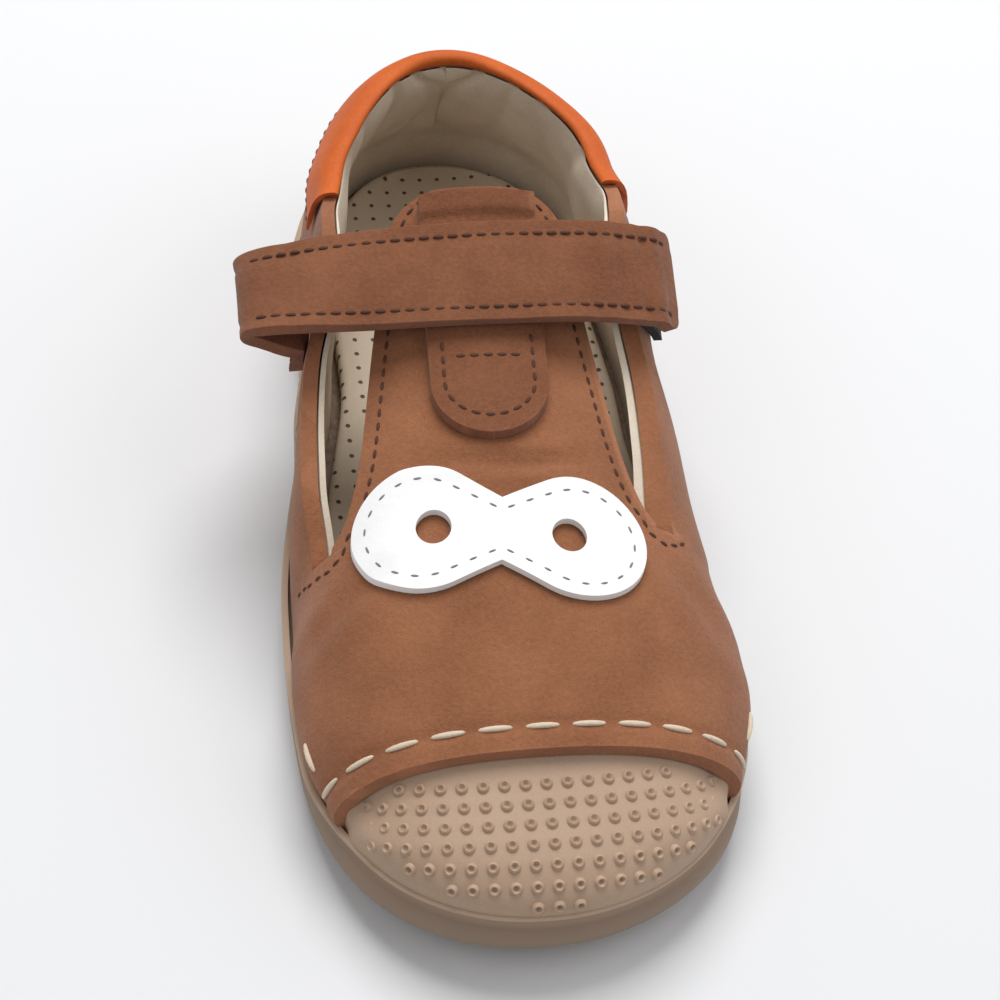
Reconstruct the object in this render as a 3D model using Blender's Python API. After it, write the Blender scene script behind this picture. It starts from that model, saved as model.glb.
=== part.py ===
"""Left T-bar shoe for a toddler: leather upper on a moulded cup sole with a studded toe bumper.

The toe points along -Y, the heel along +Y, +X is the outer (lateral) side and +Z is up.
The floor is z = 0 and every length is in metres.
"""

import math

import bmesh
import bpy
from mathutils import Vector

# Driving sizes of the last
SOLE_LENGTH = 0.158
BALL_WIDTH = 0.0720
HEEL_WIDTH = 0.0530
INSTEP_HEIGHT = 0.0410
HEEL_HEIGHT = 0.0380
HEEL_LEAN = 0.0150

# Sole
SOLE_EDGE = 0.0085
SOLE_PLATE = 0.0066
SOLE_RIM = 0.0010
TOE_SPRING = 0.0055
HEEL_BEVEL = 0.0012
ARCH_RISE = 0.0010
PANEL_FLARE = 0.0014
BUMPER_REACH = 0.0225
BUMPER_BOW = 0.0015
BUMPER_INSET = 0.0014
BUMPER_FADE = 0.0155
BUMPER_SIDE_FADE = 0.0035
BUMPER_SINK = 0.0008
BUMPER_WALL = 0.0020
BUMPER_TUCK = 0.0042
GROOVE_WIDTH = 0.0022
GROOVE_DEPTH = 0.0017
GROOVE_INSET = 0.0062
LUG_GROOVE = 0.0013
LUG_GROOVE_DEPTH = 0.0014
OVAL_LENGTH = 0.0278
OVAL_WIDTH = 0.0170
OVAL_DEPTH = 0.0026
OVAL_SEAT = 0.0012
OVAL_FACE = 0.0006
OVAL_TURN = math.radians(-20)

# Leather and the pieces on it
LEATHER = 0.0020
UPPER_INSET = 0.0014
INSOLE_THICKNESS = 0.0036
INSOLE_ROUND = 0.0008
TIP_SHARE = 0.6342
T_BAR_END_SHARE = 0.3133
T_BAR_WIDTH = 0.0330
T_BAR_CENTRE = -0.0010
T_BAR_DRIFT = 0.035
BAND_START_SHARE = 0.2468
BAND_HEIGHT = 0.0090
BAND_THICKNESS = 0.0013
STRAP_SHARE = 0.4063
STRAP_WIDTH = 0.0158
STRAP_THICKNESS = 0.0022
STRAP_STAND_OFF = 0.0004
STRAP_LIFT = 0.0006
STRAP_REACH = 0.0358
KEEPER_WIDTH = 0.0178
KEEPER_THICKNESS = 0.0018
KEEPER_TOE_SHARE = 0.5633
KEEPER_HEEL_SHARE = 0.3323
PATCH_SHARE = 0.6551
PATCH_TURN = math.radians(-7)
PATCH_LENGTH = 0.0435
PATCH_LOBE = 0.0093
PATCH_WAIST = 0.0098
PATCH_THICKNESS = 0.0012
PATCH_STRETCH = 1.10
PATCH_MARGIN = 0.0040
PATCH_HOLE = 0.0026
PATCH_HOLE_SPACING = 0.0199
FASTENER_LENGTH = 0.0130
FASTENER_THICKNESS = 0.0012
GAP = 0.0003

# How far the sole stands to the outer side, so that the strap's fold and the sole reach
# equally far from x = 0
SIDE_SHIFT = 0.00205

# How round the outline's ends and the sections are
TOE_ROUND = 0.32
TOE_POWER = 2.15
HEEL_ROUND = 0.185
HEEL_POWER = 2.1
NOSE_ROUND = 0.19
SECTION_POWER = 2.4
HEEL_WIDTH_UP_TO = 0.20
BALL_WIDTH_FROM = 0.62
TOE_SPRING_FROM = 0.70
HEEL_BEVEL_UP_TO = 0.06
ARCH_PLACE = 0.33
ARCH_SPREAD = 0.07
LEAN_FROM = 0.36
LEAN_FULL = 0.06
STAND_POWER = 1.5
KEEPER_BLUNT = 0.3
STRAP_REST = 0.4
STRAP_NEAR_WALL = 0.8
STRAP_END_START = 0.6
STRAP_END_ROWS = 3
INSOLE_SIDE = 0.75

# Outline of the sole: along is the share of the length from the heel, centre (towards the
# inner side) and half are shares of the local width
OUTLINE = (
    (0.00, 0.015, 0.501),
    (0.11, -0.015, 0.498),
    (0.19, -0.006, 0.502),
    (0.27, -0.022, 0.505),
    (0.36, -0.030, 0.478),
    (0.45, -0.008, 0.458),
    (0.55, 0.000, 0.460),
    (0.65, 0.001, 0.470),
    (0.75, -0.002, 0.481),
    (0.83, 0.001, 0.500),
    (0.89, 0.002, 0.518),
    (0.94, 0.008, 0.528),
    (1.00, 0.020, 0.520),
)

# Top of the last over the sole's edge: top is a share of INSTEP_HEIGHT, skew, how far the
# middle leans to the inner side, a share of BALL_WIDTH, and wall, the height at which the
# quarter's sides would close, a share of INSTEP_HEIGHT
LAST = (
    (0.00, 1.200, 0.000, 1.060),
    (0.17, 1.160, 0.000, 1.230),
    (0.25, 1.080, 0.025, 1.330),
    (0.31, 1.000, 0.045, 1.280),
    (0.37, 0.912, 0.058, 1.165),
    (0.46, 0.790, 0.060, 0.960),
    (0.55, 0.700, 0.057, 0.770),
    (0.634, 0.610, 0.052, 0.610),
    (0.75, 0.515, 0.040, 0.515),
    (0.87, 0.368, 0.020, 0.368),
    (1.00, 0.269, 0.000, 0.269),
)

# Topline of the quarter: heights over the sole's edge as shares of HEEL_HEIGHT for the inner
# and the outer side, then how far each side stands out from the last, as shares of BALL_WIDTH
TOPLINE = (
    (0.00, 0.913, 0.913, 0.000, 0.000),
    (0.03, 0.855, 0.855, 0.000, 0.000),
    (0.08, 0.835, 0.835, 0.000, 0.000),
    (0.17, 0.825, 0.825, 0.004, 0.002),
    (0.23, 0.835, 0.845, 0.014, 0.006),
    (0.27, 0.860, 0.885, 0.032, 0.010),
    (0.305, 0.885, 0.920, 0.045, 0.014),
    (0.34, 0.885, 0.935, 0.056, 0.022),
    (0.375, 0.850, 0.920, 0.070, 0.030),
    (0.41, 0.765, 0.850, 0.080, 0.032),
    (0.44, 0.705, 0.755, 0.100, 0.036),
    (0.48, 0.650, 0.670, 0.116, 0.042),
    (0.54, 0.560, 0.590, 0.125, 0.042),
    (0.58, 0.475, 0.530, 0.105, 0.030),
    (0.634, 0.350, 0.450, 0.000, 0.000),
)

# T-bar: from its top edge to the cut-outs' tips, half is its half width as a share of
# T_BAR_WIDTH
T_BAR = (
    (0.00, 0.200),
    (0.015, 0.290),
    (0.045, 0.365),
    (0.09, 0.412),
    (0.42, 0.505),
    (0.56, 0.540),
    (0.74, 0.585),
    (0.84, 0.621),
    (0.94, 0.680),
    (0.985, 0.735),
)

# Strap's inner end, from over the T-bar out to the fold and back: across and drop are
# shares of STRAP_REACH, tilt is how many degrees its heel side turns down
FOLD = (
    (-0.25, -0.010, 2),
    (-0.50, -0.034, 7),
    (-0.74, -0.064, 14),
    (-0.90, -0.100, 20),
    (-0.985, -0.150, 24),
    (-0.99, -0.215, 24),
    (-0.93, -0.275, 22),
    (-0.85, -0.320, 18),
)

# Strap's outer half, from over the T-bar to where it bends down: shares of STRAP_REACH
OUTER_RUN = (
    (0.20, -0.006),
    (0.38, -0.020),
    (0.53, -0.046),
)

# Drops, as shares of STRAP_REACH, at which the strap stands off the outer wing and at
# which its turned end lies on the inner wing, and between which the fastener patch lies
OUTER_DROPS = (-0.12, -0.175, -0.23)
INNER_DROPS = (-0.42, -0.50, -0.58)
FASTENER_DROPS = (-0.17, -0.42)

# Collar band section: stand is its distance out from the leather's outer face as a share
# of BAND_THICKNESS, over its height over the topline as a share of BAND_HEIGHT
BAND_SECTION = (
    (0.45, -1.00),
    (0.95, -0.97),
    (1.15, -0.50),
    (1.15, -0.08),
    (0.60, 0.14),
    (-0.70, 0.19),
    (-1.50, 0.12),
    (-1.60, 0.034),
    (0.45, 0.034),
)

# Side of the sole from the underside up: how far it is drawn in, its share of the way up
# to the edge and its share of the panels' flare
SOLE_SIDE = (
    (0.0026, 0.00, 0.0),
    (0.0011, 0.14, 0.0),
    (0.0003, 0.38, 0.5),
    (0.0004, 0.66, 0.9),
    (0.0000, 0.80, 1.0),
    (0.0000, 1.00, 1.0),
)

# Textured side panels: middle from the heel and reach, as shares of SOLE_LENGTH
OUTER_PANEL = (0.315, 0.125)
INNER_PANEL = (0.375, 0.085)

# Round lugs: along from the heel as a share of SOLE_LENGTH, across to the inner side as a
# share of BALL_WIDTH, and the radius as a share of the mean of the two
LUGS = (
    (0.871, 0.184, 0.0810),
    (0.769, 0.325, 0.0560),
    (0.754, 0.145, 0.0385),
    (0.883, -0.092, 0.0547),
    (0.798, -0.226, 0.0601),
    (0.684, -0.305, 0.0547),
    (0.790, -0.059, 0.0344),
    (0.687, -0.097, 0.0716),
    (0.520, -0.263, 0.0743),
    (0.537, -0.068, 0.0358),
    (0.409, -0.228, 0.0587),
    (0.463, -0.079, 0.0425),
    (0.626, 0.103, 0.0513),
    (0.620, 0.307, 0.0702),
    (0.532, 0.129, 0.0500),
    (0.521, 0.287, 0.0500),
    (0.445, 0.119, 0.0358),
    (0.179, -0.112, 0.0628),
    (0.232, 0.180, 0.0547),
    (0.070, -0.088, 0.0425),
    (0.134, 0.075, 0.0344),
    (0.143, 0.219, 0.0344),
    (0.074, 0.140, 0.0473),
)
OVAL_PLACE = (0.320, -0.002)
LARGE_LUG = 0.047

# Flex grooves between the lug fields, each a run of (along, across), with along as a share
# of SOLE_LENGTH and across as a share of BALL_WIDTH
GROOVES = (
    ((0.607, -0.439), (0.628, -0.204), (0.615, -0.044), (0.572, 0.018), (0.480, 0.026), (0.394, 0.033)),
    ((0.972, 0.044), (0.865, 0.033), (0.766, 0.024), (0.722, 0.044), (0.692, 0.140), (0.706, 0.439)),
    ((0.258, 0.022), (0.206, 0.040), (0.181, 0.110), (0.192, 0.285)),
    ((0.109, -0.263), (0.121, -0.088), (0.102, -0.002), (0.022, 0.040)),
)

# Colours: linear red, green, blue, then roughness
FINISHES = {
    "brown_leather": ((0.262, 0.112, 0.060), 0.80),
    "orange_leather": ((0.560, 0.095, 0.012), 0.65),
    "white_leather": ((0.860, 0.860, 0.850), 0.50),
    "moulded_rubber": ((0.520, 0.355, 0.245), 0.62),
    "orange_rubber": ((0.430, 0.048, 0.004), 0.45),
    "insole_leather": ((0.520, 0.440, 0.340), 0.80),
    "black_fastener": ((0.012, 0.012, 0.013), 0.90),
}

TOE = -SOLE_LENGTH / 2
HEEL = SOLE_LENGTH / 2
TIP_STATION = HEEL - TIP_SHARE * SOLE_LENGTH
T_BAR_END = HEEL - T_BAR_END_SHARE * SOLE_LENGTH
BAND_START = HEEL - BAND_START_SHARE * SOLE_LENGTH
STRAP_STATION = HEEL - STRAP_SHARE * SOLE_LENGTH
KEEPER_TOE_END = HEEL - KEEPER_TOE_SHARE * SOLE_LENGTH
KEEPER_HEEL_END = HEEL - KEEPER_HEEL_SHARE * SOLE_LENGTH
PATCH_STATION = HEEL - PATCH_SHARE * SOLE_LENGTH
INNER = -1
OUTER = 1


def lerp(a, b, t):
    return a + (b - a) * t


def smooth_step(t):
    t = min(max(t, 0.0), 1.0)
    return t * t * (3 - 2 * t)


def along_of(y):
    """Share of the length from the heel."""
    return (HEEL - y) / SOLE_LENGTH


def y_of(along):
    return HEEL - along * SOLE_LENGTH


def row_value(table, column, along):
    """A column's value, on a smooth curve through the table's rows."""
    along = min(max(along, table[0][0]), table[-1][0])
    low = max(k for k in range(len(table) - 1) if table[k][0] <= along)
    span = table[low + 1][0] - table[low][0]

    def slope(k):
        before = table[max(k - 1, 0)]
        after = table[min(k + 1, len(table) - 1)]
        return (after[column] - before[column]) / (after[0] - before[0]) * span

    t = (along - table[low][0]) / span
    a, b = table[low][column], table[low + 1][column]
    start, end = slope(low), slope(low + 1)
    return (
        a * (2 * t**3 - 3 * t**2 + 1)
        + start * (t**3 - 2 * t**2 + t)
        + b * (3 * t**2 - 2 * t**3)
        + end * (t**3 - t**2)
    )


def rounding(distance, reach, power):
    """0 at an end, rising like a superellipse to 1 at reach from it."""
    t = min(max(distance / reach, 0.0), 1.0)
    return (1 - (1 - t) ** power) ** (1 / power)


def local_width(along):
    share = (along - HEEL_WIDTH_UP_TO) / (BALL_WIDTH_FROM - HEEL_WIDTH_UP_TO)
    return lerp(HEEL_WIDTH, BALL_WIDTH, smooth_step(share))


def centre_x(y):
    along = along_of(y)
    return -row_value(OUTLINE, 1, along) * local_width(along)


def half_width(y, inset):
    """Half width of the outline at y, drawn in by inset all round."""
    along = along_of(y)
    width = row_value(OUTLINE, 2, along) * local_width(along) - inset
    toe = rounding(y - TOE - inset, TOE_ROUND * SOLE_LENGTH - inset, TOE_POWER)
    heel = rounding(HEEL - inset - y, HEEL_ROUND * SOLE_LENGTH - inset, HEEL_POWER)
    return width * toe * heel


def toe_lift(y):
    return TOE_SPRING * max(0.0, (along_of(y) - TOE_SPRING_FROM) / (1 - TOE_SPRING_FROM)) ** 2


def bottom_height(y):
    """Underside of the sole: flat at the heel and the ball, risen at toe, arch and heel end."""
    along = along_of(y)
    away = abs(along - ARCH_PLACE) / ARCH_SPREAD
    arch = ARCH_RISE * math.exp(-(away**2)) if away < 2 else 0.0
    heel = HEEL_BEVEL * max(0.0, 1 - along / HEEL_BEVEL_UP_TO) ** 2
    return toe_lift(y) + arch + heel


def edge_height(y):
    return SOLE_EDGE + toe_lift(y)


def plate_height(y):
    return SOLE_PLATE + toe_lift(y)


def last_top(y, proud):
    """Height of the last's ridge over the sole's edge, proud of the leather's outer face."""
    nose = rounding(y - TOE - UPPER_INSET + proud, NOSE_ROUND * SOLE_LENGTH, TOE_POWER)
    return (row_value(LAST, 1, along_of(y)) * INSTEP_HEIGHT + proud) * nose


def wall_top(y, proud):
    """Height over the sole's edge at which the quarter's two sides would meet."""
    return row_value(LAST, 3, along_of(y)) * INSTEP_HEIGHT + proud


def last_half(y, proud):
    return half_width(y, UPPER_INSET - proud)


def skewed(x, half, y):
    """x in the section, moved to the inner side most in the middle, not at the edges."""
    skew = row_value(LAST, 2, along_of(y)) * BALL_WIDTH
    if half < 1e-6 or skew < 1e-6:
        return x
    share = skew / half
    ratio = x / half
    return half * (1 - math.sqrt(1 + 4 * share * (share - ratio))) / (2 * share) if share else x


def unskewed(x, half, y):
    skew = row_value(LAST, 2, along_of(y)) * BALL_WIDTH
    return x + skew * (1 - (x / half) ** 2)


def closed_height(x, y, proud):
    """Height of the closed last over (x, y): the vamp and the T-bar follow it."""
    half = last_half(y, proud)
    flat = min(abs(unskewed(x - centre_x(y), half, y)) / half, 1.0)
    rise = (1 - flat**SECTION_POWER) ** (1 / SECTION_POWER)
    return edge_height(y) + last_top(y, proud) * rise


def section_point(y, angle, proud):
    """Point of the closed last's section at y, at an angle from the inner edge over the top."""
    half = last_half(y, proud)
    turn = math.cos(angle)
    across = -math.copysign(abs(turn) ** (2 / SECTION_POWER), turn) * half
    rise = max(math.sin(angle), 0.0) ** (2 / SECTION_POWER)
    x = centre_x(y) + skewed(across, half, y)
    return Vector((x, y, edge_height(y) + last_top(y, proud) * rise))


def topline(y, side):
    column = 1 if side == INNER else 2
    return edge_height(y) + row_value(TOPLINE, column, along_of(y)) * HEEL_HEIGHT


def wall_point(y, side, z, proud):
    """Point of the quarter's wall at height z, where the quarter stands out from the last."""
    half = last_half(y, proud)
    level = max(z - edge_height(y), 0.0)
    flat = min(level / wall_top(y, proud), 1.0)
    across = side * half * (1 - flat**SECTION_POWER) ** (1 / SECTION_POWER)
    column = 3 if side == INNER else 4
    stand = row_value(TOPLINE, column, along_of(y)) * BALL_WIDTH
    rise = level / HEEL_HEIGHT
    back = smooth_step((LEAN_FROM - along_of(y)) / (LEAN_FROM - LEAN_FULL))
    x = centre_x(y) + skewed(across, half, y) + side * stand * min(rise, 1.0) ** STAND_POWER
    return Vector((x, y - HEEL_LEAN * back * rise**2, z))


def t_bar_x(y):
    return T_BAR_CENTRE - T_BAR_DRIFT * (T_BAR_END - y)


def front_edge(angle):
    """The vamp's front edge over the bumper: y for an angle round the section."""
    middle = TOE + BUMPER_REACH
    return middle - BUMPER_BOW * (1 - math.sin(angle))


def add_object(name, points, faces, finish):
    mesh = bpy.data.meshes.new(name)
    mesh.from_pydata([(point[0] + SIDE_SHIFT, point[1], point[2]) for point in points], [], faces)
    tool = bmesh.new()
    tool.from_mesh(mesh)
    bmesh.ops.remove_doubles(tool, verts=tool.verts, dist=1e-6)
    bmesh.ops.dissolve_degenerate(tool, edges=tool.edges, dist=1e-7)
    bmesh.ops.recalc_face_normals(tool, faces=tool.faces)
    tool.to_mesh(mesh)
    tool.free()
    mesh.shade_smooth()
    mesh.set_sharp_from_angle(angle=math.radians(35))
    obj = bpy.data.objects.new(name, mesh)
    bpy.context.scene.collection.objects.link(obj)
    if finish:
        mesh.materials.append(material_of(finish))
    return obj


def material_of(finish):
    if finish in bpy.data.materials:
        return bpy.data.materials[finish]
    colour, roughness = FINISHES[finish]
    material = bpy.data.materials.new(finish)
    material.use_nodes = True
    shader = material.node_tree.nodes["Principled BSDF"]
    shader.inputs["Base Color"].default_value = (*colour, 1)
    shader.inputs["Roughness"].default_value = roughness
    shader.inputs["Metallic"].default_value = 0
    return material


def cut(obj, cutter, operation="DIFFERENCE"):
    """Applies an exact Boolean and hides the cutter."""
    cutter.hide_render = True
    cutter.display_type = "WIRE"
    modifier = obj.modifiers.new(cutter.name, "BOOLEAN")
    modifier.operation = operation
    modifier.solver = "EXACT"
    modifier.object = cutter
    modifier.show_render = modifier.show_viewport


def grid_faces(rows, columns, first=0, closed=False):
    """Quads of a grid of points stored row by row."""
    faces = []
    for i in range(rows - 1):
        for j in range(columns if closed else columns - 1):
            a = first + i * columns + j
            b = first + i * columns + (j + 1) % columns
            faces.append((a, b, b + columns, a + columns))
    return faces


def shell(name, patches, finish):
    """One closed wall from patches, each a pair of equal grids: outer face and inner face.

    Points that patches share are made one, and every open edge of the outer face is
    joined to the same edge of the inner one.
    """
    index = {}
    outer, inner, faces = [], [], []
    for outer_grid, inner_grid in patches:
        numbers = []
        for outer_row, inner_row in zip(outer_grid, inner_grid):
            row = []
            for point, under in zip(outer_row, inner_row):
                key = tuple(round(value, 6) for value in point)
                if key not in index:
                    index[key] = len(outer)
                    outer.append(point)
                    inner.append(under)
                row.append(index[key])
            numbers.append(row)
        for i in range(len(numbers) - 1):
            for j in range(len(numbers[i]) - 1):
                corners = (numbers[i][j], numbers[i][j + 1], numbers[i + 1][j + 1], numbers[i + 1][j])
                face = tuple(dict.fromkeys(corners))
                if len(face) > 2:
                    faces.append(face)
    count = len(outer)
    edges = {}
    for face in faces:
        for a, b in zip(face, face[1:] + face[:1]):
            edges[frozenset((a, b))] = None if frozenset((a, b)) in edges else (a, b)
    walls = [(b, a, a + count, b + count) for a, b in filter(None, edges.values())]
    under = [tuple(number + count for number in reversed(face)) for face in faces]
    return add_object(name, outer + inner, faces + under + walls, finish)


def eased(count):
    """Shares from 0 to 1, close together at both ends."""
    return [(1 - math.cos(math.pi * k / count)) / 2 for k in range(count + 1)]


def outline_ring(inset, height, count=30):
    """Points round the outline, from the toe along the outer side to the heel and back."""
    shares = eased(count)
    start, end = TOE + inset, HEEL - inset
    ring = []
    for side, order in ((OUTER, shares[:-1]), (INNER, shares[:0:-1])):
        for share in order:
            y = lerp(start, end, share)
            ring.append(Vector((centre_x(y) + side * half_width(y, inset), y, height(y))))
    return ring


def loft_rings(name, rings, finish):
    """Closed body through rings of equal size, with strips across its first and last ring."""
    count = len(rings[0])
    points = [point for ring in rings for point in ring]
    faces = grid_faces(len(rings), count, closed=True)
    for first in (0, (len(rings) - 1) * count):
        for k in range(count // 2):
            a, b = first + k, first + k + 1
            c, d = first + (count - k - 1) % count, first + (count - k) % count
            face = tuple(dict.fromkeys((a, b, c, d)))
            if len(face) > 2:
                faces.append(face)
    return add_object(name, points, faces, finish)


def panel_flare(y, side):
    """How far the textured side panels stand out at the waist."""
    middle, reach = OUTER_PANEL if side == OUTER else INNER_PANEL
    away = abs(along_of(y) - middle) / reach
    return PANEL_FLARE * (1 - smooth_step(away))


def sole_ring(inset, height, panel=0.0):
    ring = outline_ring(inset, height)
    for point in ring:
        side = OUTER if point.x > centre_x(point.y) else INNER
        point.x += side * panel * panel_flare(point.y, side)
    return ring


def bumper_inset(y, angle):
    """The bumper stands near the sole's edge at the toe and tucks inside the vamp behind."""
    fade = lerp(BUMPER_SIDE_FADE, BUMPER_FADE, math.sin(angle))
    share = smooth_step((y - front_edge(0.0)) / fade + 1)
    return lerp(BUMPER_INSET, UPPER_INSET + LEATHER + GAP, share)


def make_bumper():
    """Toe cap of the sole, a shell whose foot is sunk in the sole's edge."""
    rows, columns = 8, 18
    foot = SOLE_EDGE - SOLE_PLATE + BUMPER_SINK

    def surface(inside):
        start, end = TOE + BUMPER_INSET + inside, front_edge(0.0)
        ys = [lerp(start, end, 1 - math.cos(math.pi / 2 * k / rows)) for k in range(rows + 1)]
        grid = []
        for y in [*ys, TOE + BUMPER_REACH + BUMPER_TUCK]:
            arch = []
            for angle in [math.pi * k / columns for k in range(columns + 1)]:
                proud = UPPER_INSET - bumper_inset(y, angle) - inside
                arch.append(section_point(y, angle, proud))
            ends = [point - Vector((0, 0, foot)) for point in (arch[0], arch[-1])]
            grid.append([ends[0], *arch[1:-1], ends[1]])
        return grid

    return shell("bumper_cap", [(surface(0.0), surface(BUMPER_WALL))], "moulded_rubber")


def bar_prism(name, line, width, depth):
    """Cutter for a groove: a bar along a line of (x, y), up to depth over the underside."""
    points = []
    for k, (x, y) in enumerate(line):
        before, after = line[max(k - 1, 0)], line[min(k + 1, len(line) - 1)]
        way = Vector((after[0] - before[0], after[1] - before[1])).normalized()
        for side in (-1, 1):
            px, py = x - side * way.y * width / 2, y + side * way.x * width / 2
            points.append((px, py, -SOLE_EDGE))
            points.append((px, py, bottom_height(py) + depth))
    faces = []
    for k in range(len(line) - 1):
        a = 4 * k
        ring = (a, a + 1, a + 3, a + 2)
        for m in range(4):
            p, q = ring[m], ring[(m + 1) % 4]
            faces.append((p, q, q + 4, p + 4))
    faces.append((0, 2, 3, 1))
    end = 4 * (len(line) - 1)
    faces.append((end, end + 1, end + 3, end + 2))
    return add_object(name, points, faces, None)


def ring_prism_points(x, y, inner, outer, depth, sides):
    """Points and faces of a ring-shaped cutter round (x, y)."""
    points = []
    for k in range(sides):
        angle = 2 * math.pi * k / sides
        for radius in (inner, outer):
            px, py = x + radius * math.cos(angle), y + radius * math.sin(angle)
            points.append((px, py, -SOLE_EDGE))
            points.append((px, py, bottom_height(py) + depth))
    faces = []
    for k in range(sides):
        a, b = 4 * k, 4 * ((k + 1) % sides)
        for p, q in ((0, 1), (1, 3), (3, 2), (2, 0)):
            faces.append((a + p, a + q, b + q, b + p))
    return points, faces


def smooth_line(rows, steps):
    """Points on a smooth curve through a few rows of (x, y)."""
    table = [(k, *row) for k, row in enumerate(rows)]
    count = (len(rows) - 1) * steps
    columns = range(1, len(table[0]))
    return [tuple(row_value(table, column, k / steps) for column in columns) for k in range(count + 1)]


def make_outsole():
    """Cup sole: underside, rounded side with a step, rim, plate, bumper, grooves and lugs."""

    def part_way(share):
        return lambda y: lerp(bottom_height(y), edge_height(y), share)

    rings = [sole_ring(inset, part_way(share), panel) for inset, share, panel in SOLE_SIDE]
    rings.append(sole_ring(SOLE_RIM, edge_height))
    rings.append(sole_ring(SOLE_RIM, plate_height))
    sole = loft_rings("outsole", rings, "moulded_rubber")
    cut(sole, make_bumper(), "UNION")

    border = [(point.x, point.y) for point in outline_ring(GROOVE_INSET, bottom_height, 20)]
    points, faces = [], []
    for k, (x, y) in enumerate(border):
        before, after = border[k - 1], border[(k + 1) % len(border)]
        way = Vector((after[0] - before[0], after[1] - before[1])).normalized()
        for side in (-1, 1):
            px, py = x - side * way.y * GROOVE_WIDTH / 2, y + side * way.x * GROOVE_WIDTH / 2
            points.append((px, py, -SOLE_EDGE))
            points.append((px, py, bottom_height(py) + GROOVE_DEPTH))
    for k in range(len(border)):
        a, b = 4 * k, 4 * ((k + 1) % len(border))
        for p, q in ((0, 1), (1, 3), (3, 2), (2, 0)):
            faces.append((a + p, a + q, b + q, b + p))
    cut(sole, add_object("cut_border", points, faces, None))

    for number, run in enumerate(GROOVES):
        line = [(-across * BALL_WIDTH, y_of(along)) for along, across in run]
        cut(sole, bar_prism(f"cut_groove_{number}", smooth_line(line, 3), GROOVE_WIDTH, GROOVE_DEPTH))

    points, faces = [], []
    for along, across, size in LUGS:
        radius = size * math.sqrt(BALL_WIDTH * SOLE_LENGTH)
        sides = 16 if size > LARGE_LUG else 12
        x, y = -across * BALL_WIDTH, y_of(along)
        ring = ring_prism_points(x, y, radius - LUG_GROOVE, radius, LUG_GROOVE_DEPTH, sides)
        faces += [tuple(number + len(points) for number in face) for face in ring[1]]
        points += ring[0]
    cut(sole, add_object("cut_lugs", points, faces, None))
    cut(sole, oval_solid("cut_oval", OVAL_SEAT, -SOLE_EDGE, OVAL_DEPTH, None))
    return sole


def oval_solid(name, grow, low, depth, finish, sides=32, low_follows=False):
    """Oval prism at the arch, larger by grow all round."""
    x, y = -OVAL_PLACE[1] * BALL_WIDTH, y_of(OVAL_PLACE[0])
    base = bottom_height(y)
    rings = []
    for height in (low + (base if low_follows else 0.0), base + depth):
        ring = []
        for k in range(sides):
            angle = 2 * math.pi * k / sides
            px = (OVAL_LENGTH / 2 + grow) * math.cos(angle)
            py = (OVAL_WIDTH / 2 + grow) * math.sin(angle)
            ring.append(
                Vector((
                    x + px * math.cos(OVAL_TURN) - py * math.sin(OVAL_TURN),
                    y + px * math.sin(OVAL_TURN) + py * math.cos(OVAL_TURN),
                    height,
                ))
            )
        rings.append(ring)
    faces = grid_faces(2, sides, closed=True)
    faces.append(tuple(range(sides)))
    faces.append(tuple(range(2 * sides - 1, sides - 1, -1)))
    return add_object(name, rings[0] + rings[1], faces, finish)


def make_sole_insert():
    """Orange oval in its seat under the arch."""
    return oval_solid("sole_insert", 0.0, OVAL_FACE, OVAL_DEPTH - GAP, "orange_rubber", low_follows=True)


def make_insole():
    """Footbed inside the upper, on the sole's plate."""
    inset = UPPER_INSET + LEATHER + BUMPER_WALL + 2 * GAP

    def raised(height):
        return lambda y: plate_height(y) + GAP + height

    rings = [
        outline_ring(inset, raised(0.0), 26),
        outline_ring(inset, raised(INSOLE_THICKNESS * INSOLE_SIDE), 26),
        outline_ring(inset + INSOLE_ROUND, raised(INSOLE_THICKNESS), 26),
    ]
    return loft_rings("insole", rings, "insole_leather")


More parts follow.
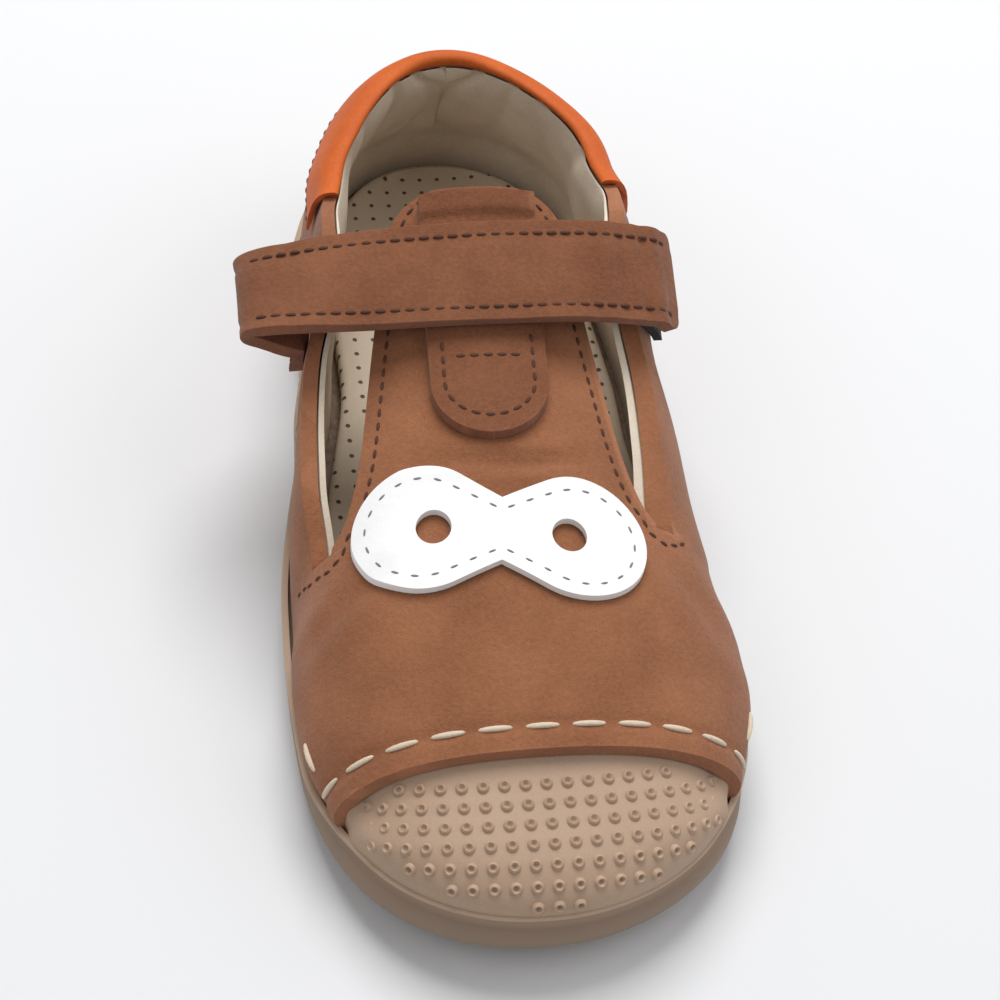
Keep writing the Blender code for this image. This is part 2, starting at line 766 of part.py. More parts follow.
def make_upper():
    """Vamp with its T-bar and the quarter with its two wings, one wall of leather."""
    wall_rows, bar_columns, vamp_rows, bar_rows = 6, 12, 10, 12
    lows, levels = {}, {}
    for side in (INNER, OUTER):
        level = (topline(TIP_STATION, side) - edge_height(TIP_STATION)) / last_top(TIP_STATION, 0.0)
        tip_angle = math.asin(level ** (SECTION_POWER / 2))
        lows[side] = [tip_angle * k / wall_rows for k in range(wall_rows + 1)]
        levels[side] = [math.sin(angle) ** (2 / SECTION_POWER) / level for angle in lows[side]]
    first, last = lows[INNER][-1], math.pi - lows[OUTER][-1]
    bar_angles = [lerp(first, last, k / bar_columns) for k in range(bar_columns + 1)]
    outer_angles = [math.pi - angle for angle in reversed(lows[OUTER][:-1])]
    angles = lows[INNER][:-1] + bar_angles + outer_angles

    def foot(point):
        return Vector((point.x, point.y, plate_height(point.y) + GAP))

    def vamp(inside):
        grid = []
        for i in range(vamp_rows + 1):
            row = []
            for angle in angles:
                start = front_edge(angle)
                y = lerp(start, TIP_STATION, i / vamp_rows)
                row.append(section_point(y, angle, -inside))
            grid.append([foot(row[0]), *row, foot(row[-1])])
        return grid

    def bar(inside):
        ends = [section_point(TIP_STATION, angle, -inside) for angle in bar_angles]
        grid = [ends]
        for share in eased(bar_rows)[1:]:
            y = lerp(TIP_STATION, T_BAR_END, share)
            back = (T_BAR_END - y) / (T_BAR_END - TIP_STATION)
            half = row_value(T_BAR, 1, back) * T_BAR_WIDTH
            middle = t_bar_x(y)
            row = []
            for end in ends:
                reach = (end.x - ends[0].x) / (ends[-1].x - ends[0].x) * 2 - 1
                x = middle + reach * half
                row.append(Vector((x, y, closed_height(x, y, -inside))))
            grid.append(row)
        return grid

    def quarter(inside):
        end = HEEL - UPPER_INSET - inside
        shares = [math.sin(math.pi / 2 * k / 20) for k in range(21)]
        stops = [(INNER, share) for share in shares] + [(OUTER, share) for share in shares[-2::-1]]
        columns = []
        for side, share in stops:
            y = lerp(TIP_STATION, end, share)
            rim = topline(y, side)
            low = edge_height(y)
            if share == 0.0:
                order = [angle if side == INNER else math.pi - angle for angle in lows[side]]
                column = [section_point(y, angle, -inside) for angle in order]
            else:
                column = [
                    wall_point(y, side, lerp(low, rim, level), -inside) for level in levels[side]
                ]
            columns.append([foot(column[0]), *column])
        return columns

    patches = [(make(0.0), make(LEATHER)) for make in (vamp, bar, quarter)]
    return shell("upper", patches, "brown_leather")


def make_collar_band():
    """Orange band over the heel's topline, from one wing round to the other."""
    end = HEEL - UPPER_INSET
    shares = [math.sin(math.pi / 2 * k / 14) for k in range(15)]
    stops = [(INNER, share) for share in shares] + [(OUTER, share) for share in shares[-2::-1]]
    rings = []
    for side, share in stops:
        ring = []
        for stand, over in BAND_SECTION:
            proud = stand * BAND_THICKNESS
            y = lerp(BAND_START, end + proud, share)
            z = topline(y, side) + over * BAND_HEIGHT
            ring.append(wall_point(y, side, z, proud))
        rings.append(ring)
    count = len(BAND_SECTION)
    points = [point for ring in rings for point in ring]
    faces = grid_faces(len(rings), count, closed=True)
    faces.append(tuple(range(count)))
    faces.append(tuple(range(len(points) - 1, len(points) - count - 1, -1)))
    return add_object("collar_band", points, faces, "orange_leather")


def surface_slab(name, across, ys, low, high, finish):
    """Slab over the closed last: across(y) gives the x values of a row."""
    grids = []
    for proud in (high, low):
        grids.append([[Vector((x, y, closed_height(x, y, proud))) for x in across(y)] for y in ys])
    return shell(name, [tuple(grids)], finish)


def make_keeper():
    """Strip folded over the T-bar's top edge and sewn to its face below the strap."""
    rows, columns = 16, 6
    half = KEEPER_WIDTH / 2

    def across(y):
        toe = y - KEEPER_TOE_END
        reach = half * (rounding(toe, half, 2.0) if toe < half else 1.0)
        reach = max(reach, half * KEEPER_BLUNT)
        return [t_bar_x(y) + reach * (2 * k / columns - 1) for k in range(columns + 1)]

    ys = [lerp(KEEPER_TOE_END, KEEPER_HEEL_END, (k / rows) ** 1.5) for k in range(rows + 1)]
    return surface_slab("keeper_tab", across, ys, GAP, GAP + KEEPER_THICKNESS, "brown_leather")


def patch_outline(steps=14):
    """Two round lobes that run straight to a notch: points round the eye-shaped patch."""
    reach = PATCH_LENGTH / PATCH_STRETCH / 2 - PATCH_LOBE
    notch = PATCH_WAIST / 2
    away = math.hypot(reach, notch)
    tangent = math.atan2(notch, reach) + math.acos(PATCH_LOBE / away)
    points = []
    for k in range(steps + 1):
        angle = lerp(tangent, 2 * math.pi - tangent, k / steps)
        points.append((-reach + PATCH_LOBE * math.cos(angle), PATCH_LOBE * math.sin(angle)))
    points.append((0.0, -notch))
    points += [(-x, -y) for x, y in points]
    return [(PATCH_STRETCH * x, y) for x, y in points]


def prism(name, outline, low, high):
    count = len(outline)
    points = [Vector((x, y, low)) for x, y in outline] + [Vector((x, y, high)) for x, y in outline]
    faces = grid_faces(2, count, closed=True)
    faces.append(tuple(range(count)))
    faces.append(tuple(range(2 * count - 1, count - 1, -1)))
    return add_object(name, points, faces, None)


def make_eye_patch():
    """White eye-shaped patch with two round holes, on the vamp."""
    middle = t_bar_x(PATCH_STATION)
    half = PATCH_LENGTH / 2 + PATCH_MARGIN
    ys = [PATCH_STATION + (PATCH_LOBE + PATCH_MARGIN) * (k / 4 - 1) for k in range(9)]

    def across(y):
        return [middle + half * (k / 7 - 1) for k in range(15)]

    patch = surface_slab("eye_patch", across, ys, GAP, GAP + PATCH_THICKNESS, "white_leather")

    def placed(x, y):
        cos, sin = math.cos(PATCH_TURN), math.sin(PATCH_TURN)
        return middle + x * cos - y * sin, PATCH_STATION + x * sin + y * cos

    outline = [placed(x, y) for x, y in patch_outline()]
    cut(patch, prism("cut_patch", outline, 0.0, 2 * INSTEP_HEIGHT), "INTERSECT")
    for number, side in enumerate((INNER, OUTER)):
        x, y = placed(side * PATCH_HOLE_SPACING / 2, 0.0)
        ring = [2 * math.pi * k / 16 for k in range(16)]
        hole = [(x + PATCH_HOLE * math.cos(a), y + PATCH_HOLE * math.sin(a)) for a in ring]
        cut(patch, prism(f"cut_hole_{number}", hole, 0.0, 2 * INSTEP_HEIGHT))
    return patch


def strap_frame():
    """Where the strap crosses the T-bar: its middle, the way across and the way up."""
    step = STRAP_WIDTH * STRAP_REST
    x = t_bar_x(STRAP_STATION)
    low = closed_height(x, STRAP_STATION - step, 0.0)
    high = closed_height(x, STRAP_STATION + step, 0.0)
    way = Vector((0, 2 * step, high - low)).normalized()
    up = Vector((0, -way.z, way.y))
    clear = 2 * GAP + KEEPER_THICKNESS + GAP + STRAP_THICKNESS / 2
    middle = Vector((x, STRAP_STATION, (low + high) / 2)) + up * clear
    return middle, way, up


def wing_offset(drop, side, proud):
    """Distance across from the strap's middle to the wing's face, at a drop below it."""
    middle, _, up = strap_frame()
    place = middle + up * drop
    return wall_point(place.y, side, place.z, proud).x - middle.x


def push_off_wing(face, back):
    """Moves each pair of points out, where the inner wing bulges past the strap's turned end."""
    for one, other in zip(face, back):
        sunk = max(point.x - wall_point(point.y, INNER, point.z, GAP).x for point in (one, other))
        if sunk > 0:
            one.x -= sunk
            other.x -= sunk


def make_strap():
    """Fastening strap: a free end over the outer wing, a turned end sewn to the inner wing."""
    middle, way, up = strap_frame()
    half_thick = STRAP_THICKNESS / 2
    over = FASTENER_THICKNESS + 2 * GAP + half_thick + STRAP_STAND_OFF
    rows = []
    for k, share in reversed(list(enumerate(OUTER_DROPS))):
        drop = share * STRAP_REACH
        rows.append((wing_offset(drop, OUTER, over) + k * STRAP_LIFT, drop, 0.0))
    rows += [(across * STRAP_REACH, drop * STRAP_REACH, 0.0) for across, drop in reversed(OUTER_RUN)]
    rows.append((0.0, 0.0, 0.0))
    rows += [(across * STRAP_REACH, drop * STRAP_REACH, tilt) for across, drop, tilt in FOLD]
    for share in INNER_DROPS:
        drop = share * STRAP_REACH
        rows.append((wing_offset(drop, INNER, GAP + half_thick), drop, FOLD[-1][2]))
    line = smooth_line(rows, 2)
    outer, inner = [], []
    for k, (across, drop, tilt) in enumerate(line):
        before, after = line[max(k - 1, 0)], line[min(k + 1, len(line) - 1)]
        along = Vector((after[0] - before[0], after[1] - before[1])).normalized()
        turn = math.radians(tilt)
        across_way = way * math.cos(turn) - up * math.sin(turn)
        up_way = up * math.cos(turn) + way * math.sin(turn)
        normal = Vector((along.y, 0, 0)) + up_way * -along.x
        place = middle + Vector((across, 0, 0)) + up * drop
        near_end = rounding(k + STRAP_END_START, STRAP_END_ROWS, 2.0)
        half = STRAP_WIDTH / 2 * near_end
        edges = [across_way * half * side for side in (-1, -0.5, 0, 0.5, 1)]
        faces = [[place + edge + normal * half_thick * face for edge in edges] for face in (1, -1)]
        if across < 0 and drop < INNER_DROPS[0] * STRAP_REACH * STRAP_NEAR_WALL:
            push_off_wing(*faces)
        outer.append(faces[0])
        inner.append(faces[1])
    return shell("strap", [(outer, inner)], "brown_leather")


def make_fastener():
    """Black fastener patch sewn to the outer wing, under the strap's free end."""
    middle, way, up = strap_frame()
    outer, inner = [], []
    for k in range(6):
        drop = lerp(*FASTENER_DROPS, k / 5) * STRAP_REACH
        rows = []
        for proud in (GAP + FASTENER_THICKNESS, GAP):
            row = []
            for m in range(5):
                place = middle + up * drop + way * FASTENER_LENGTH * (m / 4 - 0.5)
                row.append(wall_point(place.y, OUTER, place.z, proud))
            rows.append(row)
        outer.append(rows[0])
        inner.append(rows[1])
    return shell("fastener_patch", [(outer, inner)], "black_fastener")


def main():
    for obj in list(bpy.data.objects):
        bpy.data.objects.remove(obj, do_unlink=True)
    make_outsole()
    make_sole_insert()
    make_insole()
    make_upper()
    make_collar_band()
    make_keeper()
    make_eye_patch()
    make_strap()
    make_fastener()


main()
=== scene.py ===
import math

import bmesh
import bpy
import numpy as np
from mathutils import Matrix, Vector


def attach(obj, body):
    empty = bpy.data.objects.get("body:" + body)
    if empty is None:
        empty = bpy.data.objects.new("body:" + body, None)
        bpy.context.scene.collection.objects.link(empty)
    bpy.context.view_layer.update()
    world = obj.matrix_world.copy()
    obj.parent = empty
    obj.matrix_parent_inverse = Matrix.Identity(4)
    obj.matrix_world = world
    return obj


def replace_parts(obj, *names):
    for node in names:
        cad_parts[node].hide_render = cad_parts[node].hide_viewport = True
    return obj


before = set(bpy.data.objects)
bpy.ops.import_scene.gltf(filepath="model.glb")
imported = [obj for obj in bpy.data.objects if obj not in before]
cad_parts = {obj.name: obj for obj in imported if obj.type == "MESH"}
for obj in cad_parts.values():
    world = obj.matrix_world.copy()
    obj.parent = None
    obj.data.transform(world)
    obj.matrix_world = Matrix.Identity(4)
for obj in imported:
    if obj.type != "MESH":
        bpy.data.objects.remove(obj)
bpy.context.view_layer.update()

# Left shoe: toe towards -Y, outer side +X. Lengths in metres, as in the part's source.
shoe = {
    "length": 0.158, "ball": 0.0720, "heel": 0.0530, "instep": 0.0410, "heelHeight": 0.0380,
    "heelLean": 0.0150, "soleEdge": 0.0085, "solePlate": 0.0066, "rim": 0.0010, "toeSpring": 0.0055,
    "heelBevel": 0.0012, "archRise": 0.0010, "panelFlare": 0.0014, "bumperReach": 0.0225,
    "bumperBow": 0.0015, "leather": 0.0020, "inset": 0.0014, "tip": -0.0212, "tBarEnd": 0.0295,
    "tBarWidth": 0.0330, "tBarCentre": -0.0010, "tBarDrift": 0.035, "gap": 0.0003,
    "toeRound": 0.32, "toePower": 2.15, "heelRound": 0.185, "heelPower": 2.1, "noseRound": 0.19,
    "sectionPower": 2.4, "sideShift": 0.00205, "heelWidthUpTo": 0.20, "widthSpan": 0.42, "springFrom": 0.70,
    "archPlace": 0.33, "archSpread": 0.07, "bevelUpTo": 0.06, "leanFrom": 0.36, "leanSpan": 0.30,
    "standPower": 1.5,
}
# share of the length from the heel, side drift, half width (both as shares of the local width)
outlineTable = (
    (0.00, 0.015, 0.501), (0.11, -0.015, 0.498), (0.19, -0.006, 0.502), (0.27, -0.022, 0.505),
    (0.36, -0.030, 0.478), (0.45, -0.008, 0.458), (0.55, 0.000, 0.460), (0.65, 0.001, 0.470),
    (0.75, -0.002, 0.481), (0.83, 0.001, 0.500), (0.89, 0.002, 0.518), (0.94, 0.008, 0.528),
    (1.00, 0.020, 0.520),
)
# share of the length, height over the edge, skew, height the side wall would reach
lastTable = (
    (0.00, 1.200, 0.000, 1.060), (0.17, 1.160, 0.000, 1.230), (0.25, 1.080, 0.025, 1.330),
    (0.31, 1.000, 0.045, 1.280), (0.37, 0.912, 0.058, 1.165), (0.46, 0.790, 0.060, 0.960),
    (0.55, 0.700, 0.057, 0.770), (0.634, 0.610, 0.052, 0.610), (0.75, 0.515, 0.040, 0.515),
    (0.87, 0.368, 0.020, 0.368), (1.00, 0.269, 0.000, 0.269),
)
# share of the length, height on the inner and outer side, how far each stands out
toplineTable = (
    (0.00, 0.913, 0.913, 0.000, 0.000), (0.03, 0.855, 0.855, 0.000, 0.000),
    (0.08, 0.835, 0.835, 0.000, 0.000), (0.17, 0.825, 0.825, 0.004, 0.002),
    (0.23, 0.835, 0.845, 0.014, 0.006), (0.27, 0.860, 0.885, 0.032, 0.010),
    (0.305, 0.885, 0.920, 0.045, 0.014), (0.34, 0.885, 0.935, 0.056, 0.022),
    (0.375, 0.850, 0.920, 0.070, 0.030), (0.41, 0.765, 0.850, 0.080, 0.032),
    (0.44, 0.705, 0.755, 0.100, 0.036), (0.48, 0.650, 0.670, 0.116, 0.042),
    (0.54, 0.560, 0.590, 0.125, 0.042), (0.58, 0.475, 0.530, 0.105, 0.030),
    (0.634, 0.350, 0.450, 0.000, 0.000),
)
# share of the T-bar's length from its top edge, half width
tBarTable = (
    (0.00, 0.200), (0.015, 0.290), (0.045, 0.365), (0.09, 0.412), (0.42, 0.505), (0.56, 0.540),
    (0.74, 0.585), (0.84, 0.621), (0.94, 0.680), (0.985, 0.735),
)
toe, heel = -shoe["length"] / 2, shoe["length"] / 2
inner, outer = -1, 1


def lerp(a, b, t):
    return a + (b - a) * t


def smoothStep(t):
    t = np.clip(t, 0.0, 1.0)
    return t * t * (3 - 2 * t)


def bell(distance, width):
    return np.exp(-((distance / width) ** 2))


def rowValue(table, column, along):
    # smooth curve through a table's rows, by their first column
    rows = np.array(table, float)
    keys, values = rows[:, 0], rows[:, column]
    slopes = np.empty_like(values)
    slopes[1:-1] = (values[2:] - values[:-2]) / (keys[2:] - keys[:-2])
    slopes[0] = (values[1] - values[0]) / (keys[1] - keys[0])
    slopes[-1] = (values[-1] - values[-2]) / (keys[-1] - keys[-2])
    along = np.clip(along, keys[0], keys[-1])
    low = np.clip(np.searchsorted(keys, along, side="right") - 1, 0, len(keys) - 2)
    span = keys[low + 1] - keys[low]
    t = (along - keys[low]) / span
    return (
        values[low] * (2 * t**3 - 3 * t**2 + 1) + slopes[low] * span * (t**3 - 2 * t**2 + t)
        + values[low + 1] * (3 * t**2 - 2 * t**3) + slopes[low + 1] * span * (t**3 - t**2)
    )


def alongOf(y):
    return (heel - y) / shoe["length"]


def rounding(distance, reach, power):
    t = np.clip(distance / reach, 0.0, 1.0)
    return (1 - (1 - t) ** power) ** (1 / power)


def localWidth(along):
    return lerp(shoe["heel"], shoe["ball"], smoothStep((along - shoe["heelWidthUpTo"]) / shoe["widthSpan"]))


def centreX(y):
    return -rowValue(outlineTable, 1, alongOf(y)) * localWidth(alongOf(y))


def halfWidth(y, inset):
    along = alongOf(y)
    width = rowValue(outlineTable, 2, along) * localWidth(along) - inset
    toeEnd = rounding(y - toe - inset, shoe["toeRound"] * shoe["length"] - inset, shoe["toePower"])
    heelEnd = rounding(heel - inset - y, shoe["heelRound"] * shoe["length"] - inset, shoe["heelPower"])
    return width * toeEnd * heelEnd


def toeLift(y):
    start = shoe["springFrom"]
    return shoe["toeSpring"] * np.maximum(0.0, (alongOf(y) - start) / (1 - start)) ** 2


def bottomHeight(y):
    along = alongOf(y)
    away, spread, bevel = along - shoe["archPlace"], shoe["archSpread"], shoe["bevelUpTo"]
    arch = shoe["archRise"] * bell(away, spread) * (np.abs(away) < 2 * spread)
    return toeLift(y) + arch + shoe["heelBevel"] * np.maximum(0.0, (bevel - along) / bevel) ** 2


def edgeHeight(y):
    return shoe["soleEdge"] + toeLift(y)


def plateHeight(y):
    return shoe["solePlate"] + toeLift(y)


def lastTop(y, proud):
    nose = rounding(y - toe - shoe["inset"] + proud, shoe["noseRound"] * shoe["length"], shoe["toePower"])
    return (rowValue(lastTable, 1, alongOf(y)) * shoe["instep"] + proud) * nose


def wallTop(y, proud):
    return rowValue(lastTable, 3, alongOf(y)) * shoe["instep"] + proud


def lastHalf(y, proud):
    return np.maximum(halfWidth(y, shoe["inset"] - proud), 1e-7)


def skewed(x, half, y):
    share = rowValue(lastTable, 2, alongOf(y)) * shoe["ball"] / half
    safe = np.maximum(share, 1e-4)
    bent = half * (1 - np.sqrt(np.maximum(1 + 4 * safe * (safe - x / half), 0))) / (2 * safe)
    return np.where((share < 1e-4) | (half < 1e-6), x, bent)


def sineAt(x, y, proud):
    # sine of the angle round the section, 0 at the rim and 1 on top
    half = lastHalf(y, proud)
    skew = rowValue(lastTable, 2, alongOf(y)) * shoe["ball"]
    across = x - centreX(y)
    flat = np.minimum(np.abs(across + skew * (1 - (across / half) ** 2)) / half, 1.0)
    return np.sqrt(1 - flat ** shoe["sectionPower"])


def closedHeight(x, y, proud):
    return edgeHeight(y) + lastTop(y, proud) * sineAt(x, y, proud) ** (2 / shoe["sectionPower"])


def overTop(x, y, proud):
    x, y = np.broadcast_arrays(x, y)
    return np.stack([x, y, closedHeight(x, y, proud)], -1)


def sectionPoint(y, angle, proud):
    half = lastHalf(y, proud)
    turn = np.cos(angle)
    across = -np.sign(turn) * np.abs(turn) ** (2 / shoe["sectionPower"]) * half
    rise = np.maximum(np.sin(angle), 0.0) ** (2 / shoe["sectionPower"])
    x = centreX(y) + skewed(across, half, y)
    return np.stack(np.broadcast_arrays(x, y, edgeHeight(y) + lastTop(y, proud) * rise), -1)


def topline(y, side):
    return edgeHeight(y) + rowValue(toplineTable, 1 if side == inner else 2, alongOf(y)) * shoe["heelHeight"]


def wallPoint(y, side, z, proud):
    half = lastHalf(y, proud)
    level = np.maximum(z - edgeHeight(y), 0.0)
    flat = np.minimum(level / wallTop(y, proud), 1.0)
    across = side * half * (1 - flat ** shoe["sectionPower"]) ** (1 / shoe["sectionPower"])
    stand = rowValue(toplineTable, 3 if side == inner else 4, alongOf(y)) * shoe["ball"]
    rise = level / shoe["heelHeight"]
    back = smoothStep((shoe["leanFrom"] - alongOf(y)) / shoe["leanSpan"])
    x = centreX(y) + skewed(across, half, y) + side * stand * np.minimum(rise, 1.0) ** shoe["standPower"]
    return np.stack(np.broadcast_arrays(x, y - shoe["heelLean"] * back * rise**2, z), -1)


def tBarX(y):
    return shoe["tBarCentre"] - shoe["tBarDrift"] * (shoe["tBarEnd"] - y)


def frontEdge(angle):
    return toe + shoe["bumperReach"] - shoe["bumperBow"] * (1 - np.sin(angle))


# Meshes


def newObject(name, points, faces, weld=True):
    mesh = bpy.data.meshes.new(name)
    points = np.asarray(points, float) + np.array([shoe["sideShift"], 0, 0])
    mesh.from_pydata(points.tolist(), [], faces)
    tool = bmesh.new()
    tool.from_mesh(mesh)
    if weld:
        bmesh.ops.remove_doubles(tool, verts=tool.verts, dist=2e-6)
        bmesh.ops.dissolve_degenerate(tool, edges=tool.edges, dist=1e-7)
    bmesh.ops.recalc_face_normals(tool, faces=tool.faces)
    tool.to_mesh(mesh)
    tool.free()
    made = bpy.data.objects.new(name, mesh)
    bpy.context.scene.collection.objects.link(made)
    return made


def smoothed(mesh, angle):
    mesh.shade_smooth()
    mesh.set_sharp_from_angle(angle=math.radians(angle))


def addPiece(name, points, faces, material, smooth=40):
    piece = newObject(name, points, faces)
    smoothed(piece.data, smooth)
    piece.data.materials.append(material)
    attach(piece, "root")
    print("piece", name, len(piece.data.polygons))
    return piece


def gridFaces(rows, columns, first=0, closed=False):
    faces = []
    for i in range(rows - 1):
        for j in range(columns if closed else columns - 1):
            a = first + i * columns + j
            b = first + i * columns + (j + 1) % columns
            faces.append((a, b, b + columns, a + columns))
    return faces


def tube(rings, count):
    # faces of rings joined in a row, closed at both ends
    last = (rings - 1) * count
    ends = [tuple(range(count)), tuple(range(last + count - 1, last - 1, -1))]
    return gridFaces(rings, count, closed=True) + ends


def shell(name, patches, material, smooth=40):
    # patches are pairs of grids (rows, columns, 3): outer face and inner face, welded and closed
    index, outside, inside, faces = {}, [], [], []
    for outerGrid, innerGrid in patches:
        numbers = []
        for outerRow, innerRow in zip(np.asarray(outerGrid).tolist(), np.asarray(innerGrid).tolist()):
            row = []
            for point, under in zip(outerRow, innerRow):
                key = (round(point[0], 6), round(point[1], 6), round(point[2], 6))
                if key not in index:
                    index[key] = len(outside)
                    outside.append(point)
                    inside.append(under)
                row.append(index[key])
            numbers.append(row)
        for i in range(len(numbers) - 1):
            for j in range(len(numbers[i]) - 1):
                face = tuple(dict.fromkeys(
                    (numbers[i][j], numbers[i][j + 1], numbers[i + 1][j + 1], numbers[i + 1][j])
                ))
                if len(face) > 2:
                    faces.append(face)
    count = len(outside)
    edges = {}
    for face in faces:
        for a, b in zip(face, face[1:] + face[:1]):
            key = (a, b) if a < b else (b, a)
            edges[key] = None if key in edges else (a, b)
    walls = [(b, a, a + count, b + count) for a, b in filter(None, edges.values())]
    under = [tuple(number + count for number in reversed(face)) for face in faces]
    return addPiece(name, outside + inside, faces + under + walls, material, smooth)


def bevelled(piece, width, segments=2, angle=50):
    modifier = piece.modifiers.new("edge", "BEVEL")
    modifier.width = width
    modifier.segments = segments
    modifier.limit_method = "ANGLE"
    modifier.angle_limit = math.radians(angle)
    return piece


def roundHeel(count):
    # (side, share of the way to the heel), from the inner side round to the outer side
    shares = np.sin(math.pi / 2 * np.arange(count + 1) / count)
    return [(inner, share) for share in shares] + [(outer, share) for share in shares[-2::-1]]


def closest(line, spots):
    return [int(np.argmin(np.linalg.norm(line - spot, axis=1))) for spot in spots]


def runLength(line):
    return np.concatenate([[0], np.cumsum(np.linalg.norm(np.diff(line, axis=0), axis=1))])


def eased(count):
    return (1 - np.cos(np.pi * np.arange(count + 1) / count)) / 2


def smoothLine(rows, steps):
    table = [(k, *row) for k, row in enumerate(rows)]
    places = np.arange((len(rows) - 1) * steps + 1) / steps
    return np.stack([rowValue(table, column, places) for column in range(1, len(table[0]))], -1)


def spaced(line, pitch, start=0.5):
    # (place, direction) at equal distances along a line of points
    line = np.asarray(line)
    distance = runLength(line)
    count = max(int(distance[-1] / pitch + 0.5), 1)
    wanted = (np.arange(count) + start) * distance[-1] / count
    places, ahead, behind = (
        np.stack([np.interp(wanted + step, distance, line[:, k]) for k in range(3)], -1) for step in (0, 2e-4, -2e-4)
    )
    ways = ahead - behind
    return places, ways / np.maximum(np.linalg.norm(ways, axis=1, keepdims=True), 1e-9)


def stitchPoints(place, way, normal, length, width, height):
    side = np.cross(normal, way)
    side /= np.linalg.norm(side)
    up = np.cross(way, side)
    rings, around = 7, 8
    points = []
    for k in range(rings):
        t = math.pi * k / (rings - 1)
        reach, size = -math.cos(t) * length / 2, max(math.sin(t), 0.02) ** 0.6
        for m in range(around):
            a = 2 * math.pi * m / around
            points.append(
                place + way * reach + side * math.cos(a) * size * width / 2
                + up * (math.sin(a) * size * height / 2 - (reach / length) ** 2 * height * 1.2)
            )
    return points, tube(rings, around)


def addStitches(name, rows, material):
    # rows: (places, ways, normals, length, width, height)
    points, faces = [], []
    for places, ways, normals, length, width, height in rows:
        for place, way, normal in zip(places, ways, normals):
            some, sides = stitchPoints(place, way, normal, length, width, height)
            faces += [tuple(number + len(points) for number in face) for face in sides]
            points += some
    return addPiece(name, points, faces, material, 60)


def normalsOf(surface, a, b, flip=1):
    # unit normals of surface(a, b) by small steps
    step = 1e-4
    along = surface(a + step, b) - surface(a - step, b)
    across = surface(a, b + step) - surface(a, b - step)
    normal = np.cross(along, across)
    return flip * normal / np.maximum(np.linalg.norm(normal, axis=-1, keepdims=True), 1e-12)


# Materials

def newGroup(name, inputs, outputs):
    group = bpy.data.node_groups.new(name, "ShaderNodeTree")
    for label, kind, value in inputs:
        socket = group.interface.new_socket(label, in_out="INPUT", socket_type=kind)
        socket.default_value = value
    for label, kind in outputs:
        group.interface.new_socket(label, in_out="OUTPUT", socket_type=kind)
    return group, group.nodes.new("NodeGroupInput"), group.nodes.new("NodeGroupOutput")


def join(tree, value, socket):
    # value: a number, a colour or another node's output
    if isinstance(value, tuple):
        socket.default_value = (*value, 1)
    elif isinstance(value, (int, float)):
        socket.default_value = value
    else:
        tree.links.new(value, socket)


def node(tree, kind, **values):
    # values: settings by their names, sockets by their labels with _ for a space
    made = tree.nodes.new(kind)
    for key, value in values.items():
        if hasattr(made, key):
            setattr(made, key, value)
        else:
            join(tree, value, made.inputs[key.replace("_", " ")])
    return made


def maths(tree, operation, a, b=None):
    made = node(tree, "ShaderNodeMath", operation=operation)
    join(tree, a, made.inputs[0])
    if b is not None:
        join(tree, b, made.inputs[1])
    return made.outputs[0]


def mixColour(tree, factor, a, b):
    made = node(tree, "ShaderNodeMix", data_type="RGBA")
    for number, value in ((0, factor), (6, a), (7, b)):
        join(tree, value, made.inputs[number])
    return made.outputs[2]


def ramp(tree, value, low, high):
    return node(tree, "ShaderNodeMapRange", Value=value, From_Min=low, From_Max=high).outputs[0]


def placeIn(tree):
    return node(tree, "ShaderNodeTexCoord").outputs["Object"]


def noise(tree, scale, detail, roughness=0.6):
    return node(
        tree, "ShaderNodeTexNoise", Detail=detail, Roughness=roughness, Scale=scale, Vector=placeIn(tree)
    ).outputs["Fac"]


def grainGroup():
    # nap and pores of leather: Tone for colour and Height for relief
    tree, given, out = newGroup(
        "leatherGrain",
        [("Fineness", "NodeSocketFloat", 1.0), ("Patch Size", "NodeSocketFloat", 1.0)],
        [("Tone", "NodeSocketFloat"), ("Height", "NodeSocketFloat")],
    )
    patches = noise(tree, maths(tree, "DIVIDE", 75.0, given.outputs["Patch Size"]), 4.0, 0.55)
    nap = noise(tree, maths(tree, "MULTIPLY", 1500.0, given.outputs["Fineness"]), 4.0, 0.65)
    fine = noise(tree, maths(tree, "MULTIPLY", 5200.0, given.outputs["Fineness"]), 2.0)
    tone = maths(tree, "ADD", maths(tree, "MULTIPLY", patches, 0.46), maths(tree, "MULTIPLY", nap, 0.34))
    join(tree, maths(tree, "ADD", tone, maths(tree, "MULTIPLY", fine, 0.20)), out.inputs["Tone"])
    height = maths(tree, "ADD", maths(tree, "MULTIPLY", nap, 0.6), maths(tree, "MULTIPLY", fine, 0.4))
    join(tree, height, out.inputs["Height"])
    return tree


def wearAndHollowShadeGroup():
    # light worn edges and painted shade in hollows, from the surface's own curvature
    tree, given, out = newGroup(
        "edgeWearHollowShade", [("Width", "NodeSocketFloat", 1.0)],
        [("Edges", "NodeSocketFloat"), ("HollowShade", "NodeSocketFloat")],
    )
    point = node(tree, "ShaderNodeNewGeometry").outputs["Pointiness"]
    for label, low, high in (("Edges", 0.515, 0.60), ("HollowShade", 0.485, 0.42)):
        ranged = ramp(tree, point, low, high)
        join(tree, maths(tree, "MULTIPLY", ranged, given.outputs["Width"]), out.inputs[label])
    return tree


groups = {"grain": grainGroup(), "wearAndHollowShade": wearAndHollowShadeGroup()}


def useGroup(tree, name, **values):
    return node(tree, "ShaderNodeGroup", node_tree=groups[name], **values).outputs


def principled(name, roughness, **extra):
    material = bpy.data.materials.new(name)
    material.use_nodes = True
    tree = material.node_tree
    shader = tree.nodes["Principled BSDF"]
    shader.inputs["Roughness"].default_value = roughness
    for key, value in extra.items():
        shader.inputs[key.replace("_", " ")].default_value = value
    return material, tree, shader


